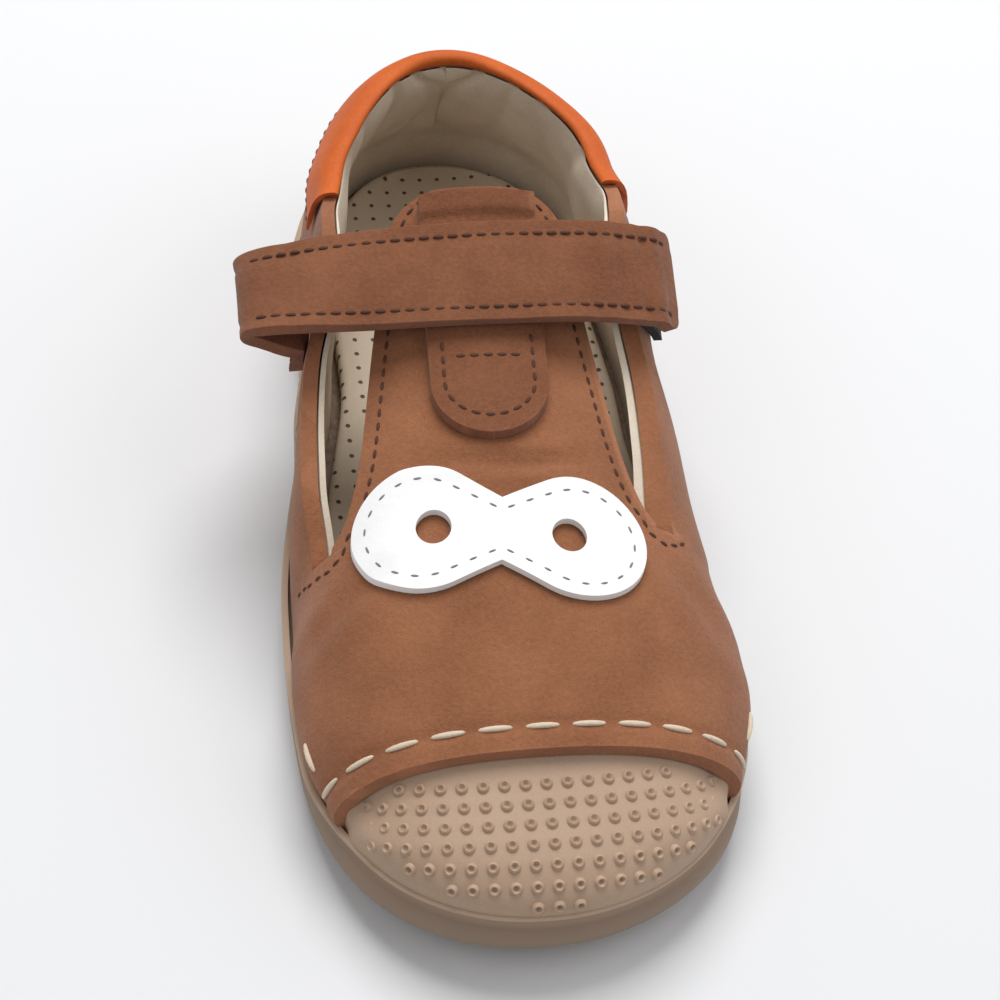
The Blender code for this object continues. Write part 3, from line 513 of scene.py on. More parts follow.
def addBump(tree, shader, height, distance):
    bump = node(tree, "ShaderNodeBump", Distance=distance, Height=height)
    join(tree, bump.outputs["Normal"], shader.inputs["Normal"])


def leatherMaterial(name, dark, light, roughness, relief, fineness, patch, wearAndHollowShade, specular, sheen):
    material, tree, shader = principled(
        name, roughness, Specular_IOR_Level=specular, Sheen_Weight=sheen, Sheen_Roughness=0.45
    )
    grain = useGroup(tree, "grain", Fineness=fineness, Patch_Size=patch)
    worn = useGroup(tree, "wearAndHollowShade", Width=wearAndHollowShade)
    colour = mixColour(tree, ramp(tree, grain["Tone"], 0.36, 0.64), dark, light)
    colour = mixColour(tree, worn["Edges"], colour, tuple(min(1.0, value * 1.35 + 0.02) for value in light))
    # painted shade: hollows get a darker copy of the dark tone
    colour = mixColour(tree, worn["HollowShade"], colour, tuple(value * 0.55 for value in dark))
    join(tree, colour, shader.inputs["Base Color"])
    addBump(tree, shader, grain["Height"], relief)
    return material


def threadMaterial(name, colour):
    material, tree, shader = principled(name, 0.75)
    twist = noise(tree, 2600.0, 2.0)
    join(tree, mixColour(tree, twist, tuple(value * 0.72 for value in colour), colour), shader.inputs["Base Color"])
    addBump(tree, shader, twist, 0.0001)
    return material


# dark and light tone, roughness, relief, fineness, patch size, edge wear and hollow shade, specular, sheen
leathers = {
    "nubuck": ((0.232, 0.087, 0.038), (0.372, 0.151, 0.071), 0.88, 0.00030, 1.0, 1.0, 0.35, 0.25, 0.16),
    # the same nubuck painted darker as shade, for the strap and the keeper
    "nubuckShadedCopy": ((0.168, 0.060, 0.026), (0.270, 0.103, 0.049), 0.88, 0.00030, 1.0, 0.8, 0.35, 0.25, 0.14),
    "orange": ((0.470, 0.082, 0.008), (0.640, 0.130, 0.016), 0.66, 0.00010, 1.2, 0.6, 0.15, 0.35, 0.0),
    "white": ((0.870, 0.868, 0.860), (0.940, 0.938, 0.930), 0.42, 0.00005, 0.8, 1.6, 0.0, 0.45, 0.0),
    "lining": ((0.640, 0.540, 0.420), (0.800, 0.700, 0.570), 0.90, 0.00010, 1.3, 0.7, 0.0, 0.2, 0.0),
    "rubber": ((0.410, 0.278, 0.190), (0.485, 0.338, 0.238), 0.58, 0.00003, 1.6, 2.2, 0.12, 0.35, 0.0),
    "orangeRubber": ((0.420, 0.050, 0.004), (0.520, 0.075, 0.008), 0.42, 0.00003, 1.6, 2.2, 0.2, 0.5, 0.0),
    "fuzz": ((0.006, 0.006, 0.007), (0.030, 0.030, 0.032), 0.95, 0.00060, 1.4, 0.3, 0.0, 0.5, 0.0),
}
threadColours = {
    "darkThread": (0.090, 0.028, 0.011), "creamThread": (0.800, 0.660, 0.500), "greyThread": (0.240, 0.240, 0.245),
}
finish = {name: leatherMaterial(name, *values) for name, values in leathers.items()}
finish.update({name: threadMaterial(name, colour) for name, colour in threadColours.items()})
print("materials made")


# Upper: vamp, T-bar and quarter, with creases worked into the leather
upperLook = {
    "vampRows": 60, "barColumns": 54, "lowRows": 14, "barRows": 60, "quarterColumns": 100, "edge": 0.0005,
    # creases: from (x, y) to (x, y), depth and width
    "creases": (
        (-0.0150, -0.0125, 0.0100, -0.0135, 0.00055, 0.0012),
        (-0.0060, -0.0150, 0.0130, -0.0115, 0.00035, 0.0010),
        (-0.0300, -0.0330, -0.0215, -0.0285, 0.00045, 0.0020),
        (0.0230, -0.0260, 0.0300, -0.0380, 0.00040, 0.0022),
        (-0.0310, -0.0440, -0.0190, -0.0470, 0.00030, 0.0030),
        (0.0150, -0.0480, 0.0280, -0.0440, 0.00030, 0.0028),
    ),
    # a crease is weaker at its ends and has a low ridge on each side
    "creaseEnds": 0.35, "ridgeHeight": 0.5, "ridgeAway": 1.9,
    # shallow waves on the vamp and round the quarter
    "sag": 0.0003, "sagUpTo": -0.022, "sagFade": 0.010, "quarterWave": 240, "quarterRise": 3.1,
    # the line that the stitches press in, and the sides that lean out over the rim
    "dent": 0.0004, "dentBack": 0.0034, "dentWidth": 0.0009,
    "bulge": 0.0019, "bulgeAt": 0.15, "bulgeFront": 0.3, "bulgeRun": 0.014, "bulgeFade": 0.030,
}


def creaseDepth(x, y):
    look = upperLook
    depth = np.zeros(np.broadcast(x, y).shape)
    for x0, y0, x1, y1, deep, wide in look["creases"]:
        dx, dy = x1 - x0, y1 - y0
        t = np.clip(((x - x0) * dx + (y - y0) * dy) / (dx * dx + dy * dy), 0, 1)
        away = np.hypot(x - x0 - t * dx, y - y0 - t * dy)
        fade = look["creaseEnds"] + (1 - look["creaseEnds"]) * np.sin(np.pi * np.clip(t, 0.02, 0.98)) ** 0.5
        ridge = look["ridgeHeight"] * bell(away - look["ridgeAway"] * wide, wide)
        depth += deep * fade * (-bell(away, wide) + ridge)
    waves = np.sin(x * 210 + 1.3) * np.sin(y * 160 + 0.4) + 0.6 * np.sin(x * 90 - y * 130)
    soft = smoothStep((y - toe - shoe["bumperReach"]) / look["sagFade"])
    return depth + look["sag"] * waves * soft * smoothStep((look["sagUpTo"] - y) / look["sagFade"])


def creased(x, y, proud):
    return overTop(x, y, proud + creaseDepth(x, y))


def footed(grid):
    # adds the row of points where the leather goes down to the plate
    ends = grid.copy()
    for k in (0, -1):
        ends[:, k, 2] = plateHeight(grid[:, k, 1]) + shoe["gap"]
    return np.concatenate([ends[:, :1], grid, ends[:, -1:]], 1)


def tipAngles(count):
    lows = {}
    for side in (inner, outer):
        level = (topline(shoe["tip"], side) - edgeHeight(shoe["tip"])) / lastTop(shoe["tip"], 0.0)
        angle = math.asin(level ** (shoe["sectionPower"] / 2))
        lows[side] = (np.linspace(0, angle, count + 1), level)
    return lows


lows = tipAngles(upperLook["lowRows"])
barAngles = np.linspace(lows[inner][0][-1], math.pi - lows[outer][0][-1], upperLook["barColumns"] + 1)
allAngles = np.concatenate([lows[inner][0][:-1], barAngles, (math.pi - lows[outer][0][:-1])[::-1]])


def vampSurface(y, angle, proud):
    look = upperLook
    flat = sectionPoint(y, angle, 0.0)
    back = y - frontEdge(angle)
    dent = look["dent"] * bell(back - look["dentBack"], look["dentWidth"])
    rise = np.sin(angle) / look["bulgeAt"]
    zone = lerp(look["bulgeFront"], 1.0, smoothStep(back / look["bulgeRun"]))
    zone = zone * smoothStep((shoe["tip"] - y) / look["bulgeFade"])
    bulge = look["bulge"] * rise * np.exp(1 - rise) * zone
    return sectionPoint(y, angle, proud - dent + bulge + creaseDepth(flat[..., 0], flat[..., 1]))


def vampGrid(inside):
    share = np.linspace(0, 1, upperLook["vampRows"] + 1)[:, None]
    y = lerp(frontEdge(allAngles)[None, :], shoe["tip"], share)
    return footed(vampSurface(y, allAngles[None, :], -inside))


def barGrid(inside):
    ends = vampSurface(np.full(len(barAngles), shoe["tip"]), barAngles, -inside)
    reach = (ends[:, 0] - ends[0, 0]) / (ends[-1, 0] - ends[0, 0]) * 2 - 1
    rows = [ends]
    for part in eased(upperLook["barRows"])[1:]:
        y = lerp(shoe["tip"], shoe["tBarEnd"], part)
        x = tBarX(y) + reach * rowValue(tBarTable, 1, 1 - part) * shoe["tBarWidth"]
        rows.append(creased(x, y, -inside))
    return np.stack(rows)


def quarterGrid(inside):
    columns = []
    for side, part in roundHeel(upperLook["quarterColumns"]):
        y = lerp(shoe["tip"], heel - shoe["inset"] - inside, part)
        angles, level = lows[side]
        if part == 0.0:
            order = angles if side == inner else math.pi - angles
            column = vampSurface(np.full(len(order), y), order, -inside)
        else:
            levels = np.sin(angles) ** (2 / shoe["sectionPower"]) / level
            z = lerp(edgeHeight(y), topline(y, side), levels)
            soft = np.sin(y * upperLook["quarterWave"] + side) * np.sin(levels * upperLook["quarterRise"])
            column = wallPoint(np.full_like(z, y), side, z, -inside + upperLook["sag"] * soft)
        low = column[0].copy()
        low[2] = plateHeight(low[1]) + shoe["gap"]
        columns.append(np.concatenate([low[None], column]))
    return np.stack(columns)


def makeUpper():
    patches = [
        tuple(grid(inside) for inside in (0.0, shoe["leather"])) for grid in (vampGrid, barGrid, quarterGrid)
    ]
    piece = shell("upper_leather", patches, finish["nubuck"], 55)
    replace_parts(piece, "upper")
    bevelled(piece, upperLook["edge"])


makeUpper()

# Lining inside the quarter, padded under the collar and wrinkled at the heel
liningLook = {
    "columns": 150, "rows": 34, "start": 0.0003, "thin": 0.0007, "pad": 0.0024, "below": 0.0002, "edge": 0.0003,
    "afterTip": 0.0010, "padFrom": 0.012, "padFade": 0.030, "padLow": 0.30, "padPower": 0.7,
    "sway": 0.02, "wrinkleUp": (0.15, 0.4), "thinning": 0.85, "thinFrom": 0.85,
    # wrinkles down the padding: place round the heel (share of the way, -1 inner to 1 outer), depth, width
    "wrinkles": (
        (0.0, 0.0014, 0.012), (-0.10, 0.0010, 0.014), (0.09, 0.0011, 0.014), (-0.19, 0.0008, 0.018),
        (0.18, 0.0006, 0.018), (-0.30, 0.0005, 0.022), (0.30, 0.0005, 0.024), (-0.42, 0.0004, 0.026),
        (0.43, 0.0004, 0.026),
    ),
}


def makeLining():
    look = liningLook
    start = shoe["tip"] + look["afterTip"]
    end = heel - shoe["inset"] - shoe["leather"] - look["start"]
    outerRows, innerRows = [], []
    for side, part in roundHeel(look["columns"]):
        y = lerp(start, end, part)
        low = plateHeight(y) + shoe["gap"]
        high = topline(y, side) - look["below"]
        level = eased(look["rows"])
        z = lerp(low, high, level)
        back = smoothStep((y - look["padFrom"]) / look["padFade"])
        padded = np.clip((level - look["padLow"]) / (1 - look["padLow"]), 0, 1)
        puff = look["pad"] * back * np.sin(padded * math.pi) ** look["padPower"]
        place = side * (1 - math.asin(min(float(part), 1.0)) / (math.pi / 2))
        for at, deep, wide in look["wrinkles"]:
            line = at + look["sway"] * np.sin(level * 5 + at * 20)
            upward = smoothStep((level - look["wrinkleUp"][0]) / look["wrinkleUp"][1])
            puff = puff - deep * back * bell(place - line, wide) * upward
        base = -shoe["leather"] - look["start"]
        outerRows.append(wallPoint(np.full_like(z, y), side, z, base))
        thinning = look["thinning"] * back * smoothStep((level - look["thinFrom"]) / (1 - look["thinFrom"]))
        thin = look["thin"] * (1 - thinning)
        innerRows.append(wallPoint(y - part**6 * puff, side, z, base - thin - puff))
    grids = (np.stack(outerRows), np.stack(innerRows))
    bevelled(shell("lining", [grids], finish["lining"], 60), look["edge"])


makeLining()
print("upper done")


# Insole with small holes
insoleLook = {
    "thickness": 0.0036, "inset": 0.0060, "cup": 0.0009, "count": 110, "across": 18,
    "profile": ((0.0, 0.0), (0.0, 0.7), (0.0004, 0.9), (0.0012, 1.0)), "dotScale": 330.0, "dotEdge": (0.13, 0.09),
    # dot: dark colour painted into the small holes as their shade
    "dotDepth": 0.0005, "dot": (0.140, 0.100, 0.070), "tones": ((0.560, 0.465, 0.350), (0.740, 0.640, 0.510)),
}


def outlineRing(inset, height, shares, lift=0.0):
    y = lerp(toe + inset, heel - inset, shares)
    half = halfWidth(y, inset)
    return tuple(np.stack([centreX(y) + side * half, y, height(y) + lift], -1) for side in (1, -1))


def crossedBody(name, rings, middle, material, smooth=40):
    # closed body from rings (outer side line, inner side line), filled across the last one by middle(shareAcross)
    points, faces = [], []
    count = len(rings[0][0])
    for one, other in rings:
        points += one.tolist() + other.tolist()
    for k in range(len(rings) - 1):
        for half in (0, count):
            for j in range(count - 1):
                a = k * 2 * count + half + j
                quad = (a, a + 1, a + 1 + 2 * count, a + 2 * count)
                faces.append(quad if half else quad[::-1])
    for ring, across in ((0, middle[0]), (len(rings) - 1, middle[1])):
        one, other = rings[ring]
        numbers = [[ring * 2 * count + j for j in range(count)]]
        for share, z in across:
            row = lerp(one, other, share)
            row[:, 2] = z(row) if callable(z) else row[:, 2]
            numbers.append([len(points) + j for j in range(count)])
            points += row.tolist()
        numbers.append([ring * 2 * count + count + j for j in range(count)])
        for low, high in zip(numbers, numbers[1:]):
            for j in range(count - 1):
                faces.append((low[j], low[j + 1], high[j + 1], high[j]))
    return addPiece(name, points, faces, material, smooth)


def makeInsole():
    look = insoleLook
    shares = eased(look["count"])
    rings = [
        outlineRing(look["inset"] + inset, plateHeight, shares, shoe["gap"] + share * look["thickness"])
        for inset, share in look["profile"]
    ]

    def dished(row):
        side = np.abs(row[:, 0] - centreX(row[:, 1])) / np.maximum(halfWidth(row[:, 1], look["inset"]), 1e-4)
        return plateHeight(row[:, 1]) + shoe["gap"] + look["thickness"] - look["cup"] * (1 - side**2)

    material, tree, shader = principled("insoleFace", 0.85, Specular_IOR_Level=0.2)
    flat = node(tree, "ShaderNodeVectorMath", operation="MULTIPLY")
    join(tree, placeIn(tree), flat.inputs[0])
    flat.inputs[1].default_value = (1.0, 1.0, 0.0)
    cells = node(tree, "ShaderNodeTexVoronoi", Scale=look["dotScale"], Randomness=0.0, Vector=flat.outputs[0])
    holes = ramp(tree, cells.outputs["Distance"], *look["dotEdge"])
    tone = mixColour(tree, useGroup(tree, "grain")["Tone"], *look["tones"])
    # painted shade: the holes are coloured dark
    join(tree, mixColour(tree, holes, tone, look["dot"]), shader.inputs["Base Color"])
    addBump(tree, shader, maths(tree, "SUBTRACT", 1.0, holes), look["dotDepth"])
    across = [(share, dished) for share in np.linspace(0, 1, look["across"] + 1)[1:-1]]
    piece = crossedBody("insole_face", rings, ([], across), material, 60)
    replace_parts(piece, "insole")


makeInsole()

# Sole: tread, rounded side with the textured panels, rim and toe bumper
soleLook = {
    "count": 330, "across": 150, "grooveWidth": 0.0022, "grooveDepth": 0.0017, "grooveInset": 0.0062,
    "lugGroove": 0.0013, "lugDepth": 0.0014, "lugMargin": 0.0003, "softness": 0.0004,
    "dish": 0.0006, "dishReach": 0.50, "thinRing": 0.60, "thinGroove": 0.0005,
    "ovalLength": 0.0278, "ovalWidth": 0.0170, "ovalDepth": 0.0026, "ovalTurn": math.radians(-20),
    "ovalPlace": (0.320, -0.002), "ovalGap": 0.0009,
    # the oval's rings: share of its size, height
    "ovalRings": (
        (1.0, 0.0023), (1.0, 0.0010), (0.985, 0.0007), (0.93, 0.0006), (0.90, 0.0009), (0.55, 0.0010),
        (0.15, 0.0010),
    ),
    # the side's rings: inset, share of the height, share of the panels' flare
    "profile": (
        (0.0026, 0.0, 0.0), (0.0018, 0.045, 0.0), (0.0011, 0.14, 0.0), (0.0006, 0.26, 0.25), (0.0003, 0.38, 0.5),
        (0.0003, 0.52, 0.75), (0.0004, 0.66, 0.9), (0.0005, 0.76, 1.0), (0.0005, 0.86, 1.0), (0.0001, 0.90, 1.0),
        (-0.0001, 0.95, 1.0), (0.0001, 0.985, 1.0), (0.0005, 1.0, 1.0), (0.0009, 1.0, 0.2),
    ),
    "ribPitch": 0.00125, "toePadFrom": 0.70, "ballPad": (0.40, 0.58), "ballPadIn": 0.008,
    # textured panels on the sides: middle and reach as shares of the length
    "outerPanel": (0.315, 0.125), "innerPanel": (0.375, 0.085), "sideMask": (0.2, 0.99),
    "rimIn": 0.0020, "panelEdge": 2.5,
    # rubber: dark and light tone, painted shade on the band under the ridge, tone at worn edges, and painted shade in
    # hollows
    "tones": ((0.430, 0.300, 0.208), (0.505, 0.362, 0.258)), "under": (0.270, 0.187, 0.130),
    "worn": (0.58, 0.45, 0.34), "hollowShadeTone": (0.165, 0.108, 0.070),
    # relief by bump: ribs, lumps of the panels, grain, depth of it all
    "ribHeight": 0.5, "lumpScale": 620.0, "lumpHeight": 2.2, "grainHeight": 0.08, "bump": 0.00035,
    "ribsUpTo": 0.0030, "ribMargin": 0.0012, "grooveMargin": 0.001, "ribsOff": 0.7, "seatEdge": 0.0003,
    # the ridge round the toe, drawn in over the band below it; that band is painted darker as shade
    "ridgeIn": 0.0017, "ridgeFrom": 0.80, "ridgeSpan": 0.12, "ridgeMiddle": -0.045,
    "ridgeUp": (0.60, 0.36), "shadeBandUp": (0.92, 0.10),
}
lugs = (  # along as a share of the length, across of the ball width, radius of their mean
    (0.871, 0.184, 0.0810), (0.769, 0.325, 0.0560), (0.754, 0.145, 0.0385),
    (0.883, -0.092, 0.0547), (0.798, -0.226, 0.0601), (0.684, -0.305, 0.0547),
    (0.790, -0.059, 0.0344), (0.687, -0.097, 0.0716), (0.520, -0.263, 0.0743),
    (0.537, -0.068, 0.0358), (0.409, -0.228, 0.0587), (0.463, -0.079, 0.0425),
    (0.626, 0.103, 0.0513), (0.620, 0.307, 0.0702), (0.532, 0.129, 0.0500),
    (0.521, 0.287, 0.0500), (0.445, 0.119, 0.0358), (0.179, -0.112, 0.0628),
    (0.232, 0.180, 0.0547), (0.070, -0.088, 0.0425), (0.134, 0.075, 0.0344),
    (0.143, 0.219, 0.0344), (0.074, 0.140, 0.0473),
)
grooves = (
    ((0.607, -0.439), (0.628, -0.204), (0.615, -0.044), (0.572, 0.018), (0.480, 0.026), (0.394, 0.033)),
    ((0.972, 0.044), (0.865, 0.033), (0.766, 0.024), (0.722, 0.044), (0.692, 0.140), (0.706, 0.439)),
    ((0.258, 0.022), (0.206, 0.040), (0.181, 0.110), (0.192, 0.285)),
    ((0.109, -0.263), (0.121, -0.088), (0.102, -0.002), (0.022, 0.040)),
    ((0.310, -0.340), (0.320, -0.211)), ((0.239, -0.329), (0.268, -0.184)),
    ((0.382, 0.173), (0.417, 0.351)), ((0.327, 0.202), (0.340, 0.351)),
)


def nearest(points, line):
    # distance of each (x, y) to a run of points
    best = np.full(len(points), 1e9)
    for a, b in zip(line[:-1], line[1:]):
        way = b - a
        t = np.clip(((points - a) @ way) / max(way @ way, 1e-12), 0, 1)
        best = np.minimum(best, np.linalg.norm(points - a - t[:, None] * way, axis=1))
    return best


def treadRelief(points):
    # height cut into the underside, and where the fine ribs lie
    look = soleLook
    soft = look["softness"]

    def trough(away, width, depth):
        return depth * smoothStep((width / 2 + soft / 2 - away) / soft)

    one, other = outlineRing(0.0, bottomHeight, eased(90))
    border = np.concatenate([one, other[::-1]])[:, :2]
    edge = nearest(points, border)
    cut = trough(np.abs(edge - look["grooveInset"]), look["grooveWidth"], look["grooveDepth"])
    inside = edge > look["grooveInset"] + look["grooveWidth"] / 2
    for run in grooves:
        line = smoothLine([(-across * shoe["ball"], heel - along * shoe["length"]) for along, across in run], 8)
        away = nearest(points, line)
        groove = trough(away, look["grooveWidth"], look["grooveDepth"])
        cut = np.maximum(cut, np.where(edge > look["grooveInset"] - look["grooveMargin"], groove, 0))
        inside &= away > look["grooveWidth"] * look["ribsOff"]
    free = np.ones(len(points), bool)
    for along, across, size in lugs:
        radius = size * math.sqrt(shoe["ball"] * shoe["length"])
        x, y = -across * shoe["ball"], heel - along * shoe["length"]
        far = np.hypot(points[:, 0] - x, points[:, 1] - y)
        ring = trough(np.abs(far - radius + look["lugGroove"] / 2), look["lugGroove"], look["lugDepth"])
        thin = trough(np.abs(far - look["thinRing"] * radius), look["thinGroove"], look["thinGroove"])
        bowl = look["dish"] * np.clip(1 - (far / (look["dishReach"] * radius)) ** 2, 0, 1)
        cut = np.where(far < radius + look["lugMargin"], np.maximum(np.maximum(ring, thin), bowl), cut)
        free &= far > radius + 2 * look["lugMargin"]
    px = points[:, 0] + look["ovalPlace"][1] * shoe["ball"]
    py = points[:, 1] - (heel - look["ovalPlace"][0] * shoe["length"])
    turn = look["ovalTurn"]
    a = (px * math.cos(turn) + py * math.sin(turn)) / (look["ovalLength"] / 2 + look["ovalGap"])
    b = (-px * math.sin(turn) + py * math.cos(turn)) / (look["ovalWidth"] / 2 + look["ovalGap"])
    inOval = (1 - np.hypot(a, b)) * look["ovalWidth"] / 2
    seat = look["ovalDepth"] * smoothStep(inOval / look["seatEdge"] + 0.5)
    cut = np.where(inOval > -0.0004, np.maximum(cut * (inOval < -look["seatEdge"]), seat), cut)
    along = alongOf(points[:, 1])
    # two fields of the tread have no ribs
    toePad = (along > look["toePadFrom"]) & (points[:, 0] < 0.0)
    ballPad = (along > look["ballPad"][0]) & (along < look["ballPad"][1]) & (points[:, 0] > look["ballPadIn"])
    ribs = (free & inside & (inOval < -look["ribMargin"]) & ~toePad & ~ballPad).astype(float)
    return cut, ribs


def panelFlare(y, side):
    middle, reach = soleLook["outerPanel" if side == outer else "innerPanel"]
    return 1 - smoothStep(np.abs(alongOf(y) - middle) / reach)


def soleMaterial():
    look = soleLook
    material, tree, shader = principled("soleRubber", 0.58, Specular_IOR_Level=0.35)
    grain = useGroup(tree, "grain", Fineness=1.6, Patch_Size=2.2)
    worn = useGroup(tree, "wearAndHollowShade", Width=0.35)
    ribs, panel, low = (
        node(tree, "ShaderNodeAttribute", attribute_name=name).outputs["Fac"] for name in ("ribs", "panel", "low")
    )
    tone = mixColour(tree, grain["Tone"], *look["tones"])
    # painted shade: the rubber below the ridge gets the darker under tone
    tone = mixColour(tree, low, tone, look["under"])
    tone = mixColour(tree, maths(tree, "MULTIPLY", worn["Edges"], 0.4), tone, look["worn"])
    # painted shade: hollows of the sole get a dark tone
    tone = mixColour(tree, worn["HollowShade"], tone, look["hollowShadeTone"])
    join(tree, tone, shader.inputs["Base Color"])
    place = node(tree, "ShaderNodeSeparateXYZ", Vector=placeIn(tree))
    wave = maths(tree, "SINE", maths(tree, "MULTIPLY", place.outputs["Y"], 2 * math.pi / look["ribPitch"]))
    fine = maths(tree, "MULTIPLY", wave, maths(tree, "MULTIPLY", ribs, look["ribHeight"]))
    bumps = node(tree, "ShaderNodeTexVoronoi", Scale=look["lumpScale"], Vector=placeIn(tree))
    lumps = maths(tree, "SUBTRACT", 0.6, bumps.outputs["Distance"])
    lumps = maths(tree, "MULTIPLY", lumps, maths(tree, "MULTIPLY", panel, look["lumpHeight"]))
    grained = maths(tree, "MULTIPLY", grain["Height"], look["grainHeight"])
    addBump(tree, shader, maths(tree, "ADD", maths(tree, "ADD", fine, lumps), grained), look["bump"])
    return material


def giveMask(piece, name, values):
    mask = piece.data.attributes.new(name, "FLOAT", "POINT")
    mask.data.foreach_set("value", np.asarray(values, np.float32))


def toeZone(y):
    return smoothStep((alongOf(y) - soleLook["ridgeFrom"]) / soleLook["ridgeSpan"])


def toeInward(line, amount):
    # draws the ridge round the toe back from the band below it
    inward = np.stack([centreX(line[:, 1]) - line[:, 0], soleLook["ridgeMiddle"] - line[:, 1]], -1)
    inward /= np.maximum(np.linalg.norm(inward, axis=1, keepdims=True), 1e-9)
    line[:, :2] += inward * (amount * toeZone(line[:, 1]))[:, None]


def makeSole():
    look = soleLook
    shares = eased(look["count"])
    rings = []
    for inset, share, panel in look["profile"]:
        one, other = outlineRing(inset, bottomHeight, shares)
        for line in (one, other):
            line[:, 2] = lerp(line[:, 2], edgeHeight(line[:, 1]), share)
            toeInward(line, look["ridgeIn"] * smoothStep((share - look["ridgeUp"][0]) / look["ridgeUp"][1]))
        one[:, 0] += panel * shoe["panelFlare"] * panelFlare(one[:, 1], outer)
        other[:, 0] -= panel * shoe["panelFlare"] * panelFlare(other[:, 1], inner)
        rings.append((one, other))
    rings.append(outlineRing(shoe["rim"], plateHeight, shares))
    for line in rings[-1]:
        toeInward(line, look["ridgeIn"])

    def tread(row):
        return bottomHeight(row[:, 1]) + treadRelief(row[:, :2])[0]

    across = [(share, tread) for share in np.linspace(0, 1, look["across"] + 1)[1:-1]]
    piece = crossedBody("sole_body", rings, (across, []), soleMaterial(), 50)
    points = np.array([vertex.co for vertex in piece.data.vertices])
    points[:, 0] -= shoe["sideShift"]
    x, y, z = points.T
    low, high = bottomHeight(y), edgeHeight(y)
    share = (z - low) / (high - low)
    giveMask(piece, "ribs", treadRelief(points[:, :2])[1] * (z < low + look["ribsUpTo"]))
    flare = np.where(x > centreX(y), panelFlare(y, outer), panelFlare(y, inner))
    rim = halfWidth(y, look["rimIn"]) < np.abs(x - centreX(y))
    # mask of the painted shade on the sole below the ridge
    giveMask(piece, "low", smoothStep((look["shadeBandUp"][0] - share) / look["shadeBandUp"][1]))
    side = (share > look["sideMask"][0]) & (share < look["sideMask"][1]) & rim
    giveMask(piece, "panel", smoothStep(flare * look["panelEdge"]) * side)
    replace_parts(piece, "outsole")


bumperLook = {
    "rows": 70, "columns": 96, "wall": 0.0020, "tuck": 0.0042, "fade": 0.0155, "sideFade": 0.0035, "start": 0.0003,
    "studPitch": 0.0030, "studRadius": 0.00096, "studHeight": 0.00055, "studSides": 14, "firstStud": 0.0012,
    "ridgeGap": 0.0023, "vampGap": 0.0010, "lowest": 0.18, "tuckLow": 0.5, "tuckFrom": 0.16,
    "tuckSpan": 0.28, "rowSlope": (0.764, 0.643),
    "scanFrom": 0.0021, "scanPast": 0.0010, "middleAt": 0.012, "scanSide": 0.034,
    # a stud's rings: share of its radius, share of its height
    "stud": ((0.0, -0.1), (0.24, 0.0), (0.44, 0.75), (0.62, 1.0), (0.84, 0.70), (1.0, -0.15)),
}


def bumperInset(y, rise):
    # rise: 0 at the sole's rim, 1 on top of the toe
    fade = lerp(bumperLook["sideFade"], bumperLook["fade"], rise)
    tucked = smoothStep((y - toe - shoe["bumperReach"] + shoe["bumperBow"]) / fade + 1)
    high = smoothStep((rise - bumperLook["tuckFrom"]) / bumperLook["tuckSpan"])
    tucked = tucked * lerp(bumperLook["tuckLow"], 1.0, high)
    start = bumperLook["start"] + soleLook["ridgeIn"] * toeZone(y)
    return lerp(start, shoe["inset"] + shoe["leather"] + shoe["gap"], tucked)


def onBumper(x, y):
    return overTop(x, y, shoe["inset"] - bumperInset(y, sineAt(x, y, 0.0)))


def studSpots():
    # rows that lie where the surface is level along their own slope, studs at equal steps along them
    look = bumperLook
    ahead, over = look["rowSlope"]
    spots = []
    ys = np.linspace(toe + look["scanFrom"], toe + shoe["bumperReach"] + look["scanPast"], 500)
    middle = np.full(len(ys), float(centreX(toe + look["middleAt"])))
    line = onBumper(middle, ys)
    run = runLength(line)
    for distance in np.arange(look["firstStud"], run[-1], look["studPitch"]):
        y0, z0 = np.interp(distance, run, line[:, 1]), np.interp(distance, run, line[:, 2])
        level = ahead * y0 + over * z0
        row = []
        for x in np.linspace(-look["scanSide"], look["scanSide"], 240):
            column = onBumper(np.full(len(ys), x), ys)
            inside = np.abs(x - centreX(ys)) < halfWidth(ys, look["ridgeGap"])
            gauge = (ahead * column[:, 1] + over * column[:, 2])[inside]
            if inside.sum() >= 4 and gauge[0] < level < gauge[-1]:
                row.append((x, float(np.interp(level, gauge, ys[inside]))))
        if len(row) < 4:
            continue
        row = np.array(row)
        along = runLength(onBumper(row[:, 0], row[:, 1]))
        centre = np.interp(middle[0], row[:, 0], along)
        for place in np.arange(centre % look["studPitch"], along[-1], look["studPitch"]):
            spots.append((np.interp(place, along, row[:, 0]), np.interp(place, along, row[:, 1])))
    return spots


